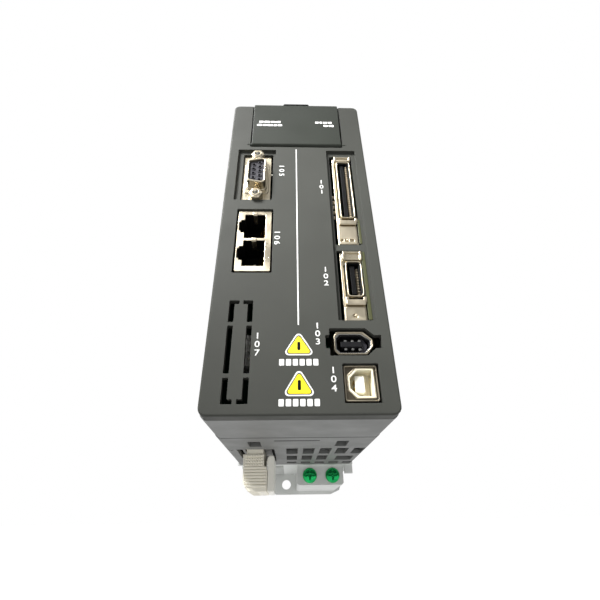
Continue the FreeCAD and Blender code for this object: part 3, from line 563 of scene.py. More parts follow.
def make_marks():
    """White and yellow print: a centre line, port numbers and plain caution marks."""
    white = [slab(0, PRINT, [rect(-0.55, -0.05, up(31.0), up(124.3))], 0)]
    # text, x, height of its middle digit, pitch, size and turn of the digits
    for text, x, height, pitch, size, degrees in (
            ("107", -14.3, 23.7, 3.1, 3.1, 0), ("101", 10.7, 99.3, 3.1, 3.1, 0),
            ("102", 10.3, 51.5, 3.1, 3.1, 0), ("103", 6.3, 27.6, 3.0, 3.1, 0),
            ("104", 10.9, 11.4, 3.0, 3.1, 0), ("105", -7.1, 109.7, 2.8, 3.2, -90),
            ("106", -8.5, 70.3, 2.7, 3.2, -90)):
        for place, digit in zip((pitch, 0, -pitch), text):
            white.append(numeral(digit, x, up(height + place), size, out(PRINT / 2), degrees))
    for low, high in CAUTION_MARKS:
        rim = [triangle(-0.25, up(low), up(high), 5.5, 1.2),
               triangle(-0.25, up(low + 0.45), up(high - 0.95), 4.75, 0.9)]
        white.append(slab(0, PRINT, rim, 0))
    for low in (16.1, 2.8):
        for column in range(6):
            left = -6.8 + column * 2.25
            bar = soft_rect(left, left + 1.7, up(low), up(low + 2.3), 0.3)
            white.append(slab(0, PRINT, [bar], 0))
    piece("panel_print_white", "drive", [(mesh, INK) for mesh in white], "white_plastic")
    yellow, black = [], []
    for low, high in CAUTION_MARKS:
        fill = triangle(-0.25, up(low + 0.75), up(high - 1.6), 4.25, 0.7)
        yellow.append((slab(0, PRINT, [fill], 0), YELLOW))
        bar = soft_rect(-0.75, 0.25, up(low + 1.9), up(high - 4.2), 0.4)
        black.append((slab(0, PRINT * 1.5, [bar], 0), BLACK))
    piece("panel_print_yellow", "drive", yellow + black, "white_plastic")


def make_door():
    """The display cover: a slab rounded at its hinge, with a finger tab and a snap catch."""
    front, back = DOOR_AXIS_OUT + DOOR_HALF, DOOR_AXIS_OUT - DOOR_HALF
    axis_y, axis_z = y_of(DOOR_AXIS_OUT), up(DOOR_AXIS_UP)
    top = up(DOOR_TOP_UP)
    profile = [(axis_y + DOOR_HALF * math.sin(angle), axis_z - DOOR_HALF * math.cos(angle))
               for angle in (math.radians(10 * step) for step in range(-9, 10))]
    ends = rounded([(y_of(back), axis_z + 1), (y_of(back), top), (y_of(front), top),
                    (y_of(front), axis_z + 1)], [0, 0.5, 1.5, 0])
    body = plate("side", DOOR_LEFT, DOOR_RIGHT, [profile + ends], 0.35, 3)
    face = rounded(rect(DOOR_LEFT, DOOR_RIGHT, axis_z - 3, top), [0, 0, 2.0, 2.0])
    body = combine(body, "INTERSECT", slab(-6, 3, [face], 0))
    pins = turned("side", (axis_y, axis_z), [(0, DOOR_LEFT - 2.2), (0.6, DOOR_LEFT - 2.2),
                                             (0.8, DOOR_LEFT - 2.0), (0.8, DOOR_RIGHT + 2.0),
                                             (0.6, DOOR_RIGHT + 2.2), (0, DOOR_RIGHT + 2.2)])
    grip = rounded([(-7.0, top - 0.7), (6.8, top - 0.7), (6.0, top + 0.25), (-6.2, top + 0.25)],
                   [0.3, 0.3, 0.5, 0.5])
    tab = rounded([(-6.0, top - 0.7), (5.8, top - 0.7), (4.6, top + 1.1), (-4.8, top + 1.1)],
                  [0.2, 0.2, 1.2, 1.2])
    hook = [(y_of(back) + along, up(height)) for along, height in
            ((-0.2, 156.3), (2.6, 156.3), (3.0, 156.9), (2.4, 157.3), (-0.2, 157.3))]
    catch = plate("side", -2.5, 2.5, [hook], 0.15)
    parts = [(body, DOOR), (pins, DOOR), (catch, DOOR),
             (slab(front - 1.4, front + 0.1, [grip], 0.3), CHIP),
             (slab(front - 1.6, front - 0.9, [tab], 0.3), PALE)]
    for left, widths, height in ((-18.6, (2.2, 2.8, 2.0, 2.6), 143.5),
                                 (-19.6, (2.6, 1.8, 2.8, 1.6, 2.2), 140.9),
                                 (9.4, (1.8, 1.4, 2.0, 2.0), 143.3), (13.4, (2.2, 2.6), 140.8)):
        for width in widths:
            bar = soft_rect(left, left + width, up(height), up(height + 1.5), 0.4)
            parts.append((slab(front, front + PRINT, [bar], 0), INK))
            left += width + 0.35
    piece("display_lid", "display_cover", parts, "door_plastic", "display_cover")


# ---- panel connectors ----

def d_outline(x, z, half_x, half_z, slope, radius):
    return rounded([(x - half_x, z - half_z + slope), (x + half_x, z - half_z),
                    (x + half_x, z + half_z), (x - half_x, z + half_z - slope)], radius)


def make_serial():
    """The nine-way connector: shell, insert and two hexagonal jacks."""
    low, high = box_mm("serial_shell")
    jack_low, jack_high = box_mm("serial_jackscrews")
    x = (jack_low.x + jack_high.x) / 2
    z = (jack_low.z + jack_high.z) / 2
    skirt = soft_rect(low.x + 0.9, high.x - 0.9, z - 9.6, z + 9.6, 1.4)
    rim = [d_outline(x, z, 4.1, 8.2, 1.5, 1.9), d_outline(x, z, 3.35, 7.4, 1.5, 1.3)]
    parts = [(slab(-3.0, -2.1, [border(low, high, 0, 1.0)], 0.25), NICKEL),
             (slab(-2.3, -1.7, [skirt], 0.25), NICKEL),
             (slab(-2.2, -0.9, [d_outline(x, z, 4.6, 8.7, 1.5, 2.2)], 0.4), NICKEL),
             (slab(-2.2, 3.3, rim, 0.3, 3), NICKEL)]
    piece("serial_connector_shell", "drive", parts, "nickel", "serial_shell")
    pitch = 2.76
    centres = [(x + 1.4, z + pitch * (number - 2)) for number in range(5)]
    centres += [(x - 1.4, z + pitch * (number - 1.5)) for number in range(4)]
    holes = [circle(*centre, 0.62, 16) for centre in centres]
    rims = [circle(*centre, 0.95, 18) for centre in centres]
    core = slab(-3, 2.3, [d_outline(x, z, 3.45, 7.55, 1.5, 1.3)] + holes, 0.1)
    face = slab(2.2, 2.6, [loop for pair in zip(rims, holes) for loop in pair], 0.08)
    floor = slab(-4, -1.5, [d_outline(x, z, 3.4, 7.5, 1.5, 1.3)], 0.1)
    piece("serial_connector_insert", "drive", [(core, GREY), (face, GREY), (floor, BLACK)],
          "grey_plastic", "serial_insulator")
    parts = []
    for side in (-1, 1):
        centre = (x, z + side * 12.5)
        hexagon = circle(*centre, 3.1, 6)
        nut = slab(-2.1, 1.6, [rounded(hexagon, 0.3, 2), circle(*centre, 1.25, 20)], 0.45, 3)
        collar = spun(centre, [(1.2, 1.0), (2.2, 1.0), (2.2, 1.5), (1.7, 2.05), (1.35, 2.05),
                               (1.2, 1.8), (1.2, 1.0)])
        thread = [(1.2, -2.0)]
        for number in range(9):
            depth = -2.0 + number * 0.4
            thread += [(1.2, depth), (1.02, depth + 0.2)]
        thread += [(1.2, 1.7), (1.3, 1.7), (1.3, -2.0), (1.2, -2.0)]
        washer = spun(centre, [(1.6, -2.1), (3.3, -2.1), (3.3, -1.8), (3.1, -1.65),
                               (1.6, -1.65), (1.6, -2.1)])
        parts += [(nut, NICKEL), (collar, NICKEL), (spun(centre, thread, 20), STEEL),
                  (washer, NICKEL)]
    piece("serial_connector_jacks", "drive", parts, "steel", "serial_jackscrews")


PORT_HEIGHT, PORT_WIDTH, PORT_STEP, PORT_INSET = 12.6, 8.6, 13.8, 2.4


def port_places():
    """Left, right and low edges of the two jacks' mouths."""
    low, high = box_mm("ethernet_shield")
    right, first = high.x - PORT_INSET, low.z + PORT_INSET
    return [(right - PORT_WIDTH, right, place) for place in (first, first + PORT_STEP)]


def port_outline(left, right, low):
    """A jack's mouth with its stepped keyway on the left."""
    step = 3.4
    high, middle = low + PORT_HEIGHT, low + PORT_HEIGHT / 2
    points = [(left, low), (right, low), (right, high), (left, high), (left, middle + step),
              (left - 1.5, middle + step), (left - 1.5, middle + 2.4),
              (left - 2.3, middle + 2.4), (left - 2.3, middle - 2.4),
              (left - 1.5, middle - 2.4), (left - 1.5, middle - step), (left, middle - step)]
    return rounded(points, 0.18, 2)


def make_ethernet():
    """Two stacked network jacks in one shield."""
    low, high = box_mm("ethernet_shield")
    places = port_places()
    ports = [port_outline(*place) for place in places]
    outline, inner = border(low, high, 0, 0.5), border(low, high, 0.35, 0.3)
    parts = [(slab(-1.15, -0.8, [outline] + ports, 0.1), NICKEL),
             (slab(-15.8, -0.9, [outline, inner], 0.1), NICKEL)]
    for left, right, port_low in places:
        port_high = port_low + PORT_HEIGHT
        middle_x = (left + right) / 2 - 0.1
        finger = [(y_of(depth), port_high + rise) for depth, rise in
                  ((-0.9, 1.2), (-0.2, 0.9), (-0.1, -0.2), (-0.6, -0.7), (-5.5, -1.1),
                   (-5.7, -0.8), (-1.3, 0.2))]
        parts.append((plate("side", middle_x - 0.9, middle_x + 0.9, [finger], 0.08), NICKEL))
    for z in (low.z + 7, high.z - 7):
        spring = [(low.x + 0.1, y_of(-1.5)), (low.x - 0.35, y_of(-2.2)),
                  (low.x - 0.45, y_of(-7)), (low.x + 0.1, y_of(-8))]
        parts.append((plate("top", z - 1.2, z + 1.2, [spring], 0.08), NICKEL))
    piece("ethernet_cage", "drive", parts, "nickel", "ethernet_shield")
    core = carve(slab(-15.7, -1.25, [inner], 0.1), slab(-13.0, 0, ports, 0))
    parts = [(core, BLACK)]
    for left, right, port_low in places:
        for step in range(9):
            z = port_low + PORT_HEIGHT / 2 + (step - 4) * 1.02
            rib = rect(right - 0.9, right + 0.2, z - 0.17, z + 0.17)
            parts.append((slab(-12.5, -6.8, [rib], 0.05), BLACK))
        guide = rect(left + 3.4, left + 4.4, port_low + 7.4, port_low + 8.4)
        parts.append((slab(-12.9, -11.5, [guide], 0.1), HEADER))
    piece("ethernet_body", "drive", parts, "black_plastic", "ethernet_housing")
    wires = []
    for left, right, port_low in places:
        for number in range(8):
            z = port_low + PORT_HEIGHT / 2 + (number - 3.5) * 1.02
            bends = ((0.1, -3.2), (0.5, -4.4), (2.6, -9.5), (3.2, -12.4))
            path = [(right - inward, y_of(depth), z) for inward, depth in bends]
            wires.append((wire(path, 0.17), GOLD))
    piece("ethernet_wires", "drive", wires, "brass_pins", "ethernet_contacts")


def make_signal(prefix, rows):
    """A ribbon connector: rolled rim, latch blocks, tongue and combed walls."""
    low, high = box_mm(f"{prefix}_shell")
    in_low, in_high = box_mm(f"{prefix}_insulator")
    x, z = (in_low.x + in_high.x) / 2, (in_low.z + in_high.z) / 2
    pitch = 1.27
    half_long = (rows - 1) * pitch / 2 + 2.3
    half_wide = 3.1
    rim = [block(x, z, half_wide, half_long, 1.5),
           block(x, z, half_wide - 0.42, half_long - 0.42, 1.1)]
    base = soft_rect(low.x, high.x - 0.5, low.z, high.z, 0.5)
    moat = soft_rect(x - half_wide - 0.55, x + half_wide + 0.45, z - half_long - 0.7,
                     z + half_long + 0.5, 2.0)
    parts = [(slab(-3.0, -2.0, [base, moat], 0.2), NICKEL),
             (slab(-13.0, -0.4, rim, 0.2, 3), NICKEL)]
    top_low = z + half_long + 0.9
    top = soft_rect(x - 3.6, x + 3.8, top_low, high.z - 0.15, 0.4)
    groove = soft_rect(x - 2.6, x + 2.8, top_low + 0.7, high.z - 0.9, 0.3)
    parts += [(slab(-2.4, -0.9, [top, groove], 0.2), NICKEL),
              (slab(-2.4, -1.4, [groove], 0.1), NICKEL)]
    for side in (-1, 1):
        post = soft_rect(x + side * 3.4 - 0.45, x + side * 3.4 + 0.45, top_low + 0.2,
                         high.z - 0.2, 0.3)
        parts.append((slab(-2.4, -0.6, [post], 0.2), NICKEL))
    bar_high = z - half_long - 1.2
    bar = soft_rect(x - 4.0, x + 3.4, bar_high - 2.3, bar_high, 0.5)
    parts.append((slab(-2.4, -0.4, [bar], 0.4, 3), NICKEL))
    for side in (-1, 1):
        ear = soft_rect(x + side * 3.3 - 0.7, x + side * 3.3 + 0.6, bar_high - 1.0,
                        bar_high + 1.3, 0.3)
        parts.append((slab(-2.4, -0.7, [ear], 0.25), NICKEL))
    dimples = (-3.4, -1.2, 0.9) if rows > 20 else (-0.9,)
    places = [(x + place, low.z + 2.2) for place in dimples]
    foot = [soft_rect(x - 4.4, x + 2.9, low.z + 0.1, bar_high - 2.6, 0.5)]
    foot += [circle(*place, 0.8, 20) for place in places]
    parts.append((slab(-2.4, -1.3, foot, 0.2), NICKEL))
    rivet_x, rivet_z = places[len(places) // 2]
    rivet = spun((rivet_x + 0.25, rivet_z + 0.2), [(0, -1.1), (0.3, -1.15), (0.5, -1.35),
                                                   (0.55, -1.8), (0.55, -2.5), (0, -2.5)], 24)
    parts.append((rivet, TIN_AND_LEAF_HIGHLIGHT))
    piece(f"{prefix}_rim", "drive", parts, "nickel", f"{prefix}_shell")
    inset = 0.45
    well = [block(x, z, half_wide - inset, half_long - inset, 1.0),
            block(x, z, half_wide - inset - 0.45, half_long - inset - 0.5, 0.6)]
    tongue = soft_rect(x - 1.2, x + 0.6, z - half_long + 1.5, z + half_long - 1.5, 0.2)
    parts = [(slab(-12.9, -1.3, well, 0.1), BLACK), (slab(-12.9, -6.0, [well[0]], 0.1), BLACK),
             (slab(-4.6, -3.9, [base, well[0]], 0.1), BLACK),
             (slab(-6.5, -1.7, [tongue], 0.15), BLACK)]
    combs = []
    for row in range(rows + 1):
        height = z + (row - rows / 2) * pitch
        for side in (-1, 1):
            wall = x + side * (half_wide - inset - 0.25)
            combs.append(rect(wall - 0.45, wall + 0.45, height - 0.22, height + 0.22))
    parts.append((slab(-6.2, -1.9, combs, 0.05), BLACK))
    piece(f"{prefix}_well", "drive", parts, "black_plastic", f"{prefix}_insulator")
    front = -2.0 if rows > 20 else -2.8
    heights = [z + (row - (rows - 1) / 2) * pitch for row in range(rows)]
    # painted highlight: the right-wall leaves take pale tin in place of their gold, while the
    # left-wall dots stay gold
    contacts = [rect(x + 1.15, x + 1.95, height - 0.2, height + 0.2) for height in heights]
    dots = [rect(x - 1.7, x - 1.3, height - 0.3, height + 0.3) for height in heights]
    return [(slab(-6.1, front, contacts, 0.06), TIN_AND_LEAF_HIGHLIGHT), (slab(-6.1, -5.6, dots, 0.06), GOLD)]


def make_painted_flange_shade():
    """Solder leads, and olive strips beside the ribbon connectors that paint the shade on the
    plated flange's side.
    """
    leads = [rect(15.45, 16.15, up(height), up(height + 1.3)) for height in (83, 86, 89, 92, 95)]
    # painted shade: the olive strips stand for the plated flange's side in shade
    edges = [rect(24.9, 26.3, up(33.6), up(64.0)), rect(24.9, 26.0, up(68.2), up(81.0))]
    return [(slab(-3.4, -2.4, leads, 0.2), TIN_AND_LEAF_HIGHLIGHT), (slab(-1.4, -1.05, edges, 0.1), FLANGE_SHADE_OLIVE)]


def fieldbus_outline(inset, radius):
    low, high = box_mm("fieldbus_shell")
    middle = (low.z + high.z) / 2
    left, right = low.x + inset, high.x - inset
    bottom, top = low.z + inset, high.z - inset
    points = [(left + 1.2, bottom), (right - 2.2, bottom), (right, middle - 1.1),
              (right, middle + 1.2), (right - 3.2, top), (left + 1.2, top),
              (left, top - 1.3), (left, bottom + 1.3)]
    return rounded(points, radius, 4)


def make_fieldbus():
    """The fieldbus connector: a shell pointed on one side."""
    low, high = box_mm("fieldbus_shell")
    middle = (low.z + high.z) / 2
    shell = slab(-14.0, -1.0, [fieldbus_outline(0, 0.9), fieldbus_outline(0.5, 0.6)], 0.18, 3)
    ring = slab(-14.0, -1.6, [fieldbus_outline(0.5, 0.6), fieldbus_outline(0.85, 0.5)], 0.1)
    piece("fieldbus_ring", "drive", [(shell, NICKEL), (ring, STEEL)], "nickel",
          "fieldbus_shell")
    floor = slab(-14.0, -6.0, [fieldbus_outline(0.8, 0.5)], 0.1)
    tongue = soft_rect(low.x + 2.4, high.x - 3.4, middle - 1.0, middle + 1.1, 0.3)
    blocks = [rect(low.x + 2.0 + number * 2.9, low.x + 4.0 + number * 2.9, middle + 1.6,
                   middle + 3.0) for number in range(3)]
    key = [(high.x - 4.4, middle - 2.8), (high.x - 2.6, middle - 2.8), (high.x - 1.4, middle),
           (high.x - 2.9, middle + 2.6), (high.x - 4.2, middle + 2.6)]
    parts = [(floor, CHIP), (slab(-8.2, -2.4, [tongue], 0.25), CHIP),
             (slab(-8.2, -4.5, blocks, 0.15), BLACK), (slab(-8.2, -3.6, [key], 0.3), GREY)]
    walls = [fieldbus_outline(0.85, 0.5), fieldbus_outline(1.2, 0.4)]
    parts.append((slab(-8.2, -2.6, walls, 0.1), CHIP))
    piece("fieldbus_insert", "drive", parts, "black_plastic", "fieldbus_insulator")
    pins = []
    for column in range(3):
        x = low.x + 4.2 + column * 2.45
        for side in (-1, 1):
            z = middle + side * 1.5
            pins.append(block(x, z, 0.5, 0.4, 0.3))
    piece("fieldbus_pins", "drive", [(slab(-8.0, -2.9, pins, 0.1), STEEL)],
          "brass_pins", "fieldbus_contacts")


def usb_mouth(inset, radius):
    low, high = box_mm("usb_shell")
    left, right = low.x + 1.3 + inset, high.x - 1.2 - inset
    bottom, top = low.z + 1.1 + inset, high.z - 1.1 - inset
    points = [(left + 2.6, bottom), (right, bottom), (right, top), (left + 2.6, top),
              (left, top - 2.6), (left, bottom + 2.6)]
    return rounded(points, radius, 4)


def make_usb():
    """The square USB jack."""
    low, high = box_mm("usb_shell")
    outline, inner = border(low, high, 0, 0.7), border(low, high, 0.45, 0.4)
    parts = [(slab(-14.0, -0.9, [outline, inner], 0.15, 3), NICKEL),
             (slab(-2.2, -1.35, [inner, usb_mouth(0, 0.5)], 0.1), BRONZE),
             (slab(-2.0, -0.95, [usb_mouth(-0.25, 0.6), usb_mouth(0.0, 0.5)], 0.1, 3), NICKEL)]
    piece("usb_cage", "drive", parts, "nickel", "usb_shell")
    middle_x, middle_z = (low.x + high.x) / 2 - 0.2, (low.z + high.z) / 2
    tongue = block(middle_x, middle_z, 1.6, 2.85, 0.3)
    parts = [(slab(-14.0, -6.5, [usb_mouth(0.1, 0.4)], 0.1), CREAM),
             (slab(-13.0, -1.1, [usb_mouth(0.0, 0.5), usb_mouth(0.55, 0.3)], 0.15), CREAM),
             (slab(-9.0, -2.4, [tongue], 0.3, 3), WHITE)]
    piece("usb_insert", "drive", parts, "white_plastic", "usb_insulator")
    pins = []
    for side in (-1, 1):
        x = middle_x + side * 1.65
        for z in (middle_z - 1.25, middle_z + 1.25):
            pins.append(rect(x - 0.15, x + 0.15, z - 0.5, z + 0.5))
    piece("usb_pins", "drive", [(slab(-9.0, -3.4, pins, 0.05), GOLD)],
          "brass_pins", "usb_contacts")


def make_connectors():
    make_serial()
    make_ethernet()
    contacts = make_signal("servo_io", 25) + make_signal("encoder", 10) + make_painted_flange_shade()
    piece("signal_leaves", "drive", contacts, "brass_pins", "signal_contacts")
    make_fieldbus()
    make_usb()


# ---- screws, plugs, fan ----

def pan_head(plane, centre, base, sign, radius, height, paint):
    """A domed screw head with a cross recess; sign is the side of base it stands on."""
    profile = [(0, base)]
    for share, rise in ((1.0, 0.0), (1.0, 0.25), (0.95, 0.47), (0.85, 0.66), (0.7, 0.81),
                        (0.5, 0.92), (0.25, 0.98), (0.0, 1.0)):
        profile.append((radius * share, base + sign * height * rise))
    head = turned(plane, centre, profile, 48)
    x, y = centre
    arm, half = radius * 0.62, radius * 0.13
    quarter = [(-arm, -half), (-half, -half), (-half, -arm)]
    cross = []
    while len(cross) < 12:
        cross += [(x + across, y + along) for across, along in quarter]
        quarter = [(-along, across) for across, along in quarter]
    ends = sorted((base + sign * height * 0.3, base + sign * height * 1.5))
    slot = plate(plane, *ends, [rounded(cross, [0, half, 0] * 4, 2)], 0)
    cone = sorted((base + sign * height * 0.2, base + sign * height * 1.5))
    socket = plate(plane, *cone, [circle(x, y, radius * 0.24, 16)], 0)
    return (carve(head, slot, socket), paint)


def make_ground_screws():
    """The two green earth screws with their washers."""
    low, high = box_mm("ground_screws")
    z = (low.z + high.z) / 2
    head_radius = (high.z - low.z) / 2
    base = -low.y - 2.6
    parts = []
    for x in (low.x + head_radius, high.x - head_radius):
        parts.append(pan_head("front", (x, z), base, 1, head_radius, 2.6, GREEN))
        under, over = base - 0.02, base + 0.3
        washer = turned("front", (x, z), [(2.1, under), (4.0, under), (4.0, over), (2.1, over),
                                          (2.1, under)])
        shank = turned("front", (x, z), [(0, base - 8), (2.0, base - 8), (2.0, base + 0.5),
                                         (0, base + 0.5)], 24)
        parts += [(washer, GREEN), (shank, GREEN)]
    piece("earth_screws", "drive", parts, "green_screw", "ground_screws")


def make_plug(prefix, end, mirror=False):
    """A pluggable terminal block: ribbed grip face, lever with an S edge, wire entries."""
    low, high = box_mm(f"{prefix}_plug")
    face, back = -low.y, -high.y
    wall = end * box_mm("front_case")[1].z
    tip = high.z if end > 0 else low.z
    seat = low.z if end > 0 else high.z

    def x_at(distance):
        """X of a place measured from the plug's grip side towards its lever."""
        return high.x + 1.0 - distance if mirror else low.x - 1.0 + distance

    def z_at(distance):
        """Z of a place measured from the end wall outwards."""
        return wall + end * distance

    def outline(*places):
        """X and Z of places given by both distances."""
        return [(x_at(across), z_at(along)) for across, along in places]

    reach = abs(tip - wall)
    grip = outline((1.0, 0.3), (1.4, reach - 3.4), (4.2, reach), (12.4, reach), (12.4, 7.0),
                   (10.9, 5.4), (10.7, 0.3))
    lever = outline((12.6, 6.4), (12.5, reach), (15.5, reach), (15.5, 1.4), (14.8, 1.0),
                    (13.2, 1.0), (12.4, 2.2), (12.2, 4.0))
    stem = rect(*sorted((x_at(2.5), x_at(10.3))), *sorted((z_at(0.35), seat)))
    body = plate("front", back, face - 0.3,
                 [rounded(grip, [0.4, 1.4, 1.6, 0.6, 1.5, 1.5, 0.4], 5)], 0.5, 3)
    poles = 5 if prefix == "mains" else 3
    pole = (face - back) / poles
    middle = (x_at(2.5) + x_at(10.3)) / 2
    entries, pads = [], []
    for number in range(poles):
        y = -(face - pole * (number + 0.5))
        entries.append(block(middle, y, 1.9, 1.9, 0.6))
        pads.append(circle(middle + (-3.9 if mirror else 3.9), y, 0.9, 20))
    ends = sorted((tip + end * 1.0, tip - end * 9.0))
    body = carve(body, plate("top", *ends, entries, 0))
    parts = [(body, BEIGE),
             (plate("front", back + 1, face - 1, [stem], 0.3), BEIGE),
             (plate("front", back + 1.4, face - 0.4, [rounded(lever, 0.7, 4)], 0.45, 3), LEVER)]
    ribs = []
    rows, split_rows, pitch = 11, 4, 1.25
    for row in range(rows):
        low_z, high_z = sorted((z_at(0.9 + row * pitch), z_at(1.7 + row * pitch)))
        edge, columns, gap = (10.4, 7, 0.12) if row < split_rows else (12.0, 1, 0)
        near, far = sorted((x_at(2.0), x_at(edge)))
        width = (far - near) / columns
        for column in range(columns):
            left = near + column * width
            ribs.append(soft_rect(left + gap, left + width - gap, low_z, high_z, 0.15))
    parts.append((plate("front", face - 0.5, face + 0.1, ribs, 0.15, 1), BEIGE))
    clamps = sorted((tip - end * 0.4, tip + end * 0.02))
    parts.append((plate("top", *clamps, pads, 0.02), STEEL))
    piece(f"{prefix}_plug_body", f"{prefix}_plug", parts, "beige_plastic", f"{prefix}_plug")


def make_fan():
    """The fan: square housing, four arms, and a seven-bladed impeller."""
    low, high = box_mm("fan_frame")
    x, y = (low.x + high.x) / 2, (low.y + high.y) / 2
    half, bore = (high.x - low.x) / 2, 19.0
    corners = [(x + sx * 16, y + sy * 16) for sx in (-1, 1) for sy in (-1, 1)]
    holes = [circle(*corner, 1.7, 20) for corner in corners]
    outline = [block(x, y, half, half, 3.0), circle(x, y, bore, 72)]
    frame_body = plate("top", low.z, high.z, outline + holes, 0.4, 3)
    arms = []
    for number in range(4):
        angle = math.tau * number / 4 + 0.35
        along = Vector((math.cos(angle), math.sin(angle)))
        across = Vector((-along.y, along.x)) * 0.9
        start, stop = Vector((x, y)) + along * 7, Vector((x, y)) + along * (bore + 0.6)
        arms.append([tuple(start - across), tuple(stop - across), tuple(stop + across),
                     tuple(start + across)])
    parts = [(frame_body, BLACK)]
    parts += [(plate("top", low.z, low.z + 1.4, [arm], 0.2), BLACK) for arm in arms]
    parts.append((plate("top", low.z, low.z + 1.4, [circle(x, y, 9.5, 48)], 0.3), BLACK))
    piece("fan_housing", "drive", parts, "black_plastic", "fan_frame")
    hub = turned("top", (x, y), [(0, low.z + 1.9), (9.3, low.z + 1.9), (9.5, low.z + 2.3),
                                 (9.5, high.z - 1.1), (9.0, high.z - 0.6), (4.2, high.z - 0.6),
                                 (4.0, high.z - 0.9), (0, high.z - 0.9)], 64)
    parts = [(hub, BLACK)]
    for number in range(7):
        parts.append((fan_blade(x, y, low.z + 2.4, high.z - 1.2, math.tau * number / 7), BLACK))
    piece("fan_impeller", "fan_rotor", parts, "black_plastic", "fan_rotor")


def fan_blade(x, y, bottom, top, turn_angle):
    """A thin curved blade swept back as it reaches outwards."""
    form = bmesh.new()
    grid = []
    steps_out, steps_up = 6, 8
    for step in range(steps_out + 1):
        share = step / steps_out
        radius = 9.0 + share * 9.2
        column = []
        for rise in range(steps_up + 1):
            height = rise / steps_up
            angle = turn_angle + 0.14 * share + (height - 0.5) * (0.62 - 0.12 * share)
            angle += 0.10 * math.sin(math.pi * height)
            z = bottom + (top - bottom) * height
            column.append(form.verts.new((x + radius * math.cos(angle),
                                          y + radius * math.sin(angle), z)))
        grid.append(column)
    for first, second in zip(grid, grid[1:]):
        for rise in range(steps_up):
            form.faces.new((first[rise], second[rise], second[rise + 1], first[rise + 1]))
    bmesh.ops.recalc_face_normals(form, faces=form.faces)
    bmesh.ops.solidify(form, geom=form.faces[:], thickness=0.9)
    return cleaned(mesh_from("blade", form))


def make_screws():
    """Heads of the case and fan screws."""
    low, high = box_mm("case_screws")
    parts = []
    y = (low.y + high.y) / 2
    for side, wall in ((-1, low.x + 1.2), (1, high.x - 1.2)):
        for z in (low.z + 2.6, high.z - 2.6):
            parts.append(pan_head("side", (y, z), wall, side, 2.6, 1.2, STEEL))
    piece("case_screw_heads", "drive", parts, "steel", "case_screws")
    low, high = box_mm("fan_screws")
    parts = []
    for x in (low.x + 2.5, high.x - 2.5):
        for y in (low.y + 2.5, high.y - 2.5):
            parts.append(pan_head("top", (x, y), high.z - 0.9, 1, 2.5, 0.9, STEEL))
    piece("fan_screw_heads", "drive", parts, "steel", "fan_screws")


def make_keys():
    """Round key caps with a dished top and a flange behind the cover."""
    for key in KEYS:
        low, high = box_mm(key)
        face, back = -low.y, -high.y
        cap = turned("front", centre_of(key), [(0, face - 0.25), (1.4, face - 0.18), (2.1, face),
                                       (2.4, face - 0.12), (2.5, face - 0.4), (2.5, back + 1.3),
                                       (3.4, back + 1.3), (3.4, back), (0, back)], 36)
        piece(f"{key}_cap", key, [(cap, PALE)], "key_plastic", key)


# ---- camera, floor, light ----

def turn(axis, degrees):
    return Matrix.Rotation(math.radians(degrees), 3, axis)


def make_camera():
    """A wide camera close below the front, tilted up."""
    data = bpy.data.cameras.new("camera")
    data.sensor_width = 36.0  # the sensor and the lens in millimetres
    data.lens = 22.38
    data.clip_start, data.clip_end = 0.005, 50
    camera = placed("camera", data)
    place = Vector((-3.3, FACE_Y - 116.1, BASE_Z - 27.8)) * MM
    # panel axes: across, up, out of the panel
    panel = Matrix(((1, 0, 0), (0, 0, -1), (0, 1, 0)))
    aim = turn("Z", -0.04) @ turn("Y", 1.57) @ turn("X", -30.69)
    camera.matrix_world = Matrix.Translation(place) @ (panel @ aim.transposed()).to_4x4()
    bpy.context.scene.camera = camera


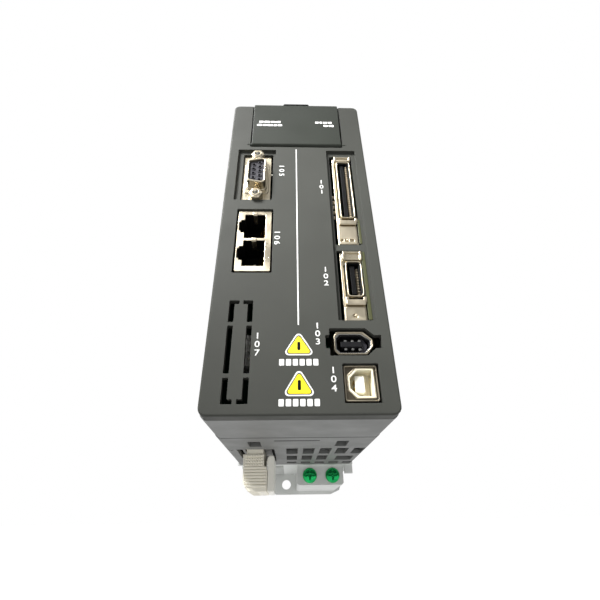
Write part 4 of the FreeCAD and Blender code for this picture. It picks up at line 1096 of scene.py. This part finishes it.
def make_floor():
    """A wide pale floor below the part."""
    floor_z = (BASE_Z - 60) * MM
    half = 20.0
    mesh = bpy.data.meshes.new("floor")
    corners = [(-half, -half, floor_z), (half, -half, floor_z), (half, half, floor_z),
               (-half, half, floor_z)]
    mesh.from_pydata(corners, [], [(0, 1, 2, 3)])
    floor = placed("floor", mesh)
    paint = bpy.data.materials.new("floor_paint")
    paint.use_nodes = True
    shader = paint.node_tree.nodes["Principled BSDF"]
    shader.inputs["Base Color"].default_value = grey(0.25)
    shader.inputs["Roughness"].default_value = 0.9
    shader.inputs["Specular IOR Level"].default_value = 0.0
    shader.inputs["Emission Color"].default_value = grey(1.0)
    # brighter to the camera than to the part, so the ground stays white behind it
    glow_on_part, extra_to_camera = 0.62, 0.35
    path = node_of(paint.node_tree, "ShaderNodeLightPath")
    glow = node_of(paint.node_tree, "ShaderNodeMath", operation="MULTIPLY_ADD")
    glow.inputs[1].default_value = extra_to_camera
    glow.inputs[2].default_value = glow_on_part
    link(path, "Is Camera Ray", glow, 0)
    link(glow, "Value", shader, "Emission Strength")
    mesh.materials.append(paint)


def make_light():
    """A studio that is bright above and dim below, white to the camera, and one key light."""
    world = bpy.data.worlds.new("studio")
    bpy.context.scene.world = world
    world.use_nodes = True
    tree = world.node_tree
    background = tree.nodes["Background"]
    place = node_of(tree, "ShaderNodeTexCoord")
    parts = node_of(tree, "ShaderNodeSeparateXYZ")
    link(place, "Generated", parts, "Vector")
    height = ramp_of(tree, parts, "Z", grey(0.2), grey(1.1), 0.35, 0.9)
    middle_stop = height.color_ramp.elements.new(0.7)
    middle_stop.color = grey(0.72)
    path = node_of(tree, "ShaderNodeLightPath")
    mix = node_of(tree, "ShaderNodeMix", data_type="RGBA")
    link(path, "Is Camera Ray", mix, "Factor")
    link(height, "Color", mix, 6)
    mix.inputs[7].default_value = grey(1.0)
    link(mix, 2, background, "Color")
    background.inputs["Strength"].default_value = 1.0
    # high on the left, so that the panel brightens upwards and the plated shells don't glare
    data = bpy.data.lights.new("key", "SPOT")
    data.energy = 68.0
    data.spot_size = math.radians(27)
    data.spot_blend = 1.0
    data.shadow_soft_size = 0.11
    lamp = placed("key", data)
    lamp.location = (-0.27, -0.44, 0.38)
    lamp.rotation_mode = "QUATERNION"
    aim = Vector((0.004, -0.17, 0.022)) - lamp.location
    lamp.rotation_quaternion = aim.to_track_quat("-Z", "Y")


paint_nodes()
make_front_cover()
make_joint_shadow()
make_marks()
make_door()
make_connectors()
make_ground_screws()
make_screws()
make_plug("motor", -1)
make_plug("mains", 1)
make_plug("brake", 1, mirror=True)
make_fan()
make_keys()
make_camera()
make_floor()
make_light()
bpy.context.scene.view_settings.view_transform = "Standard"
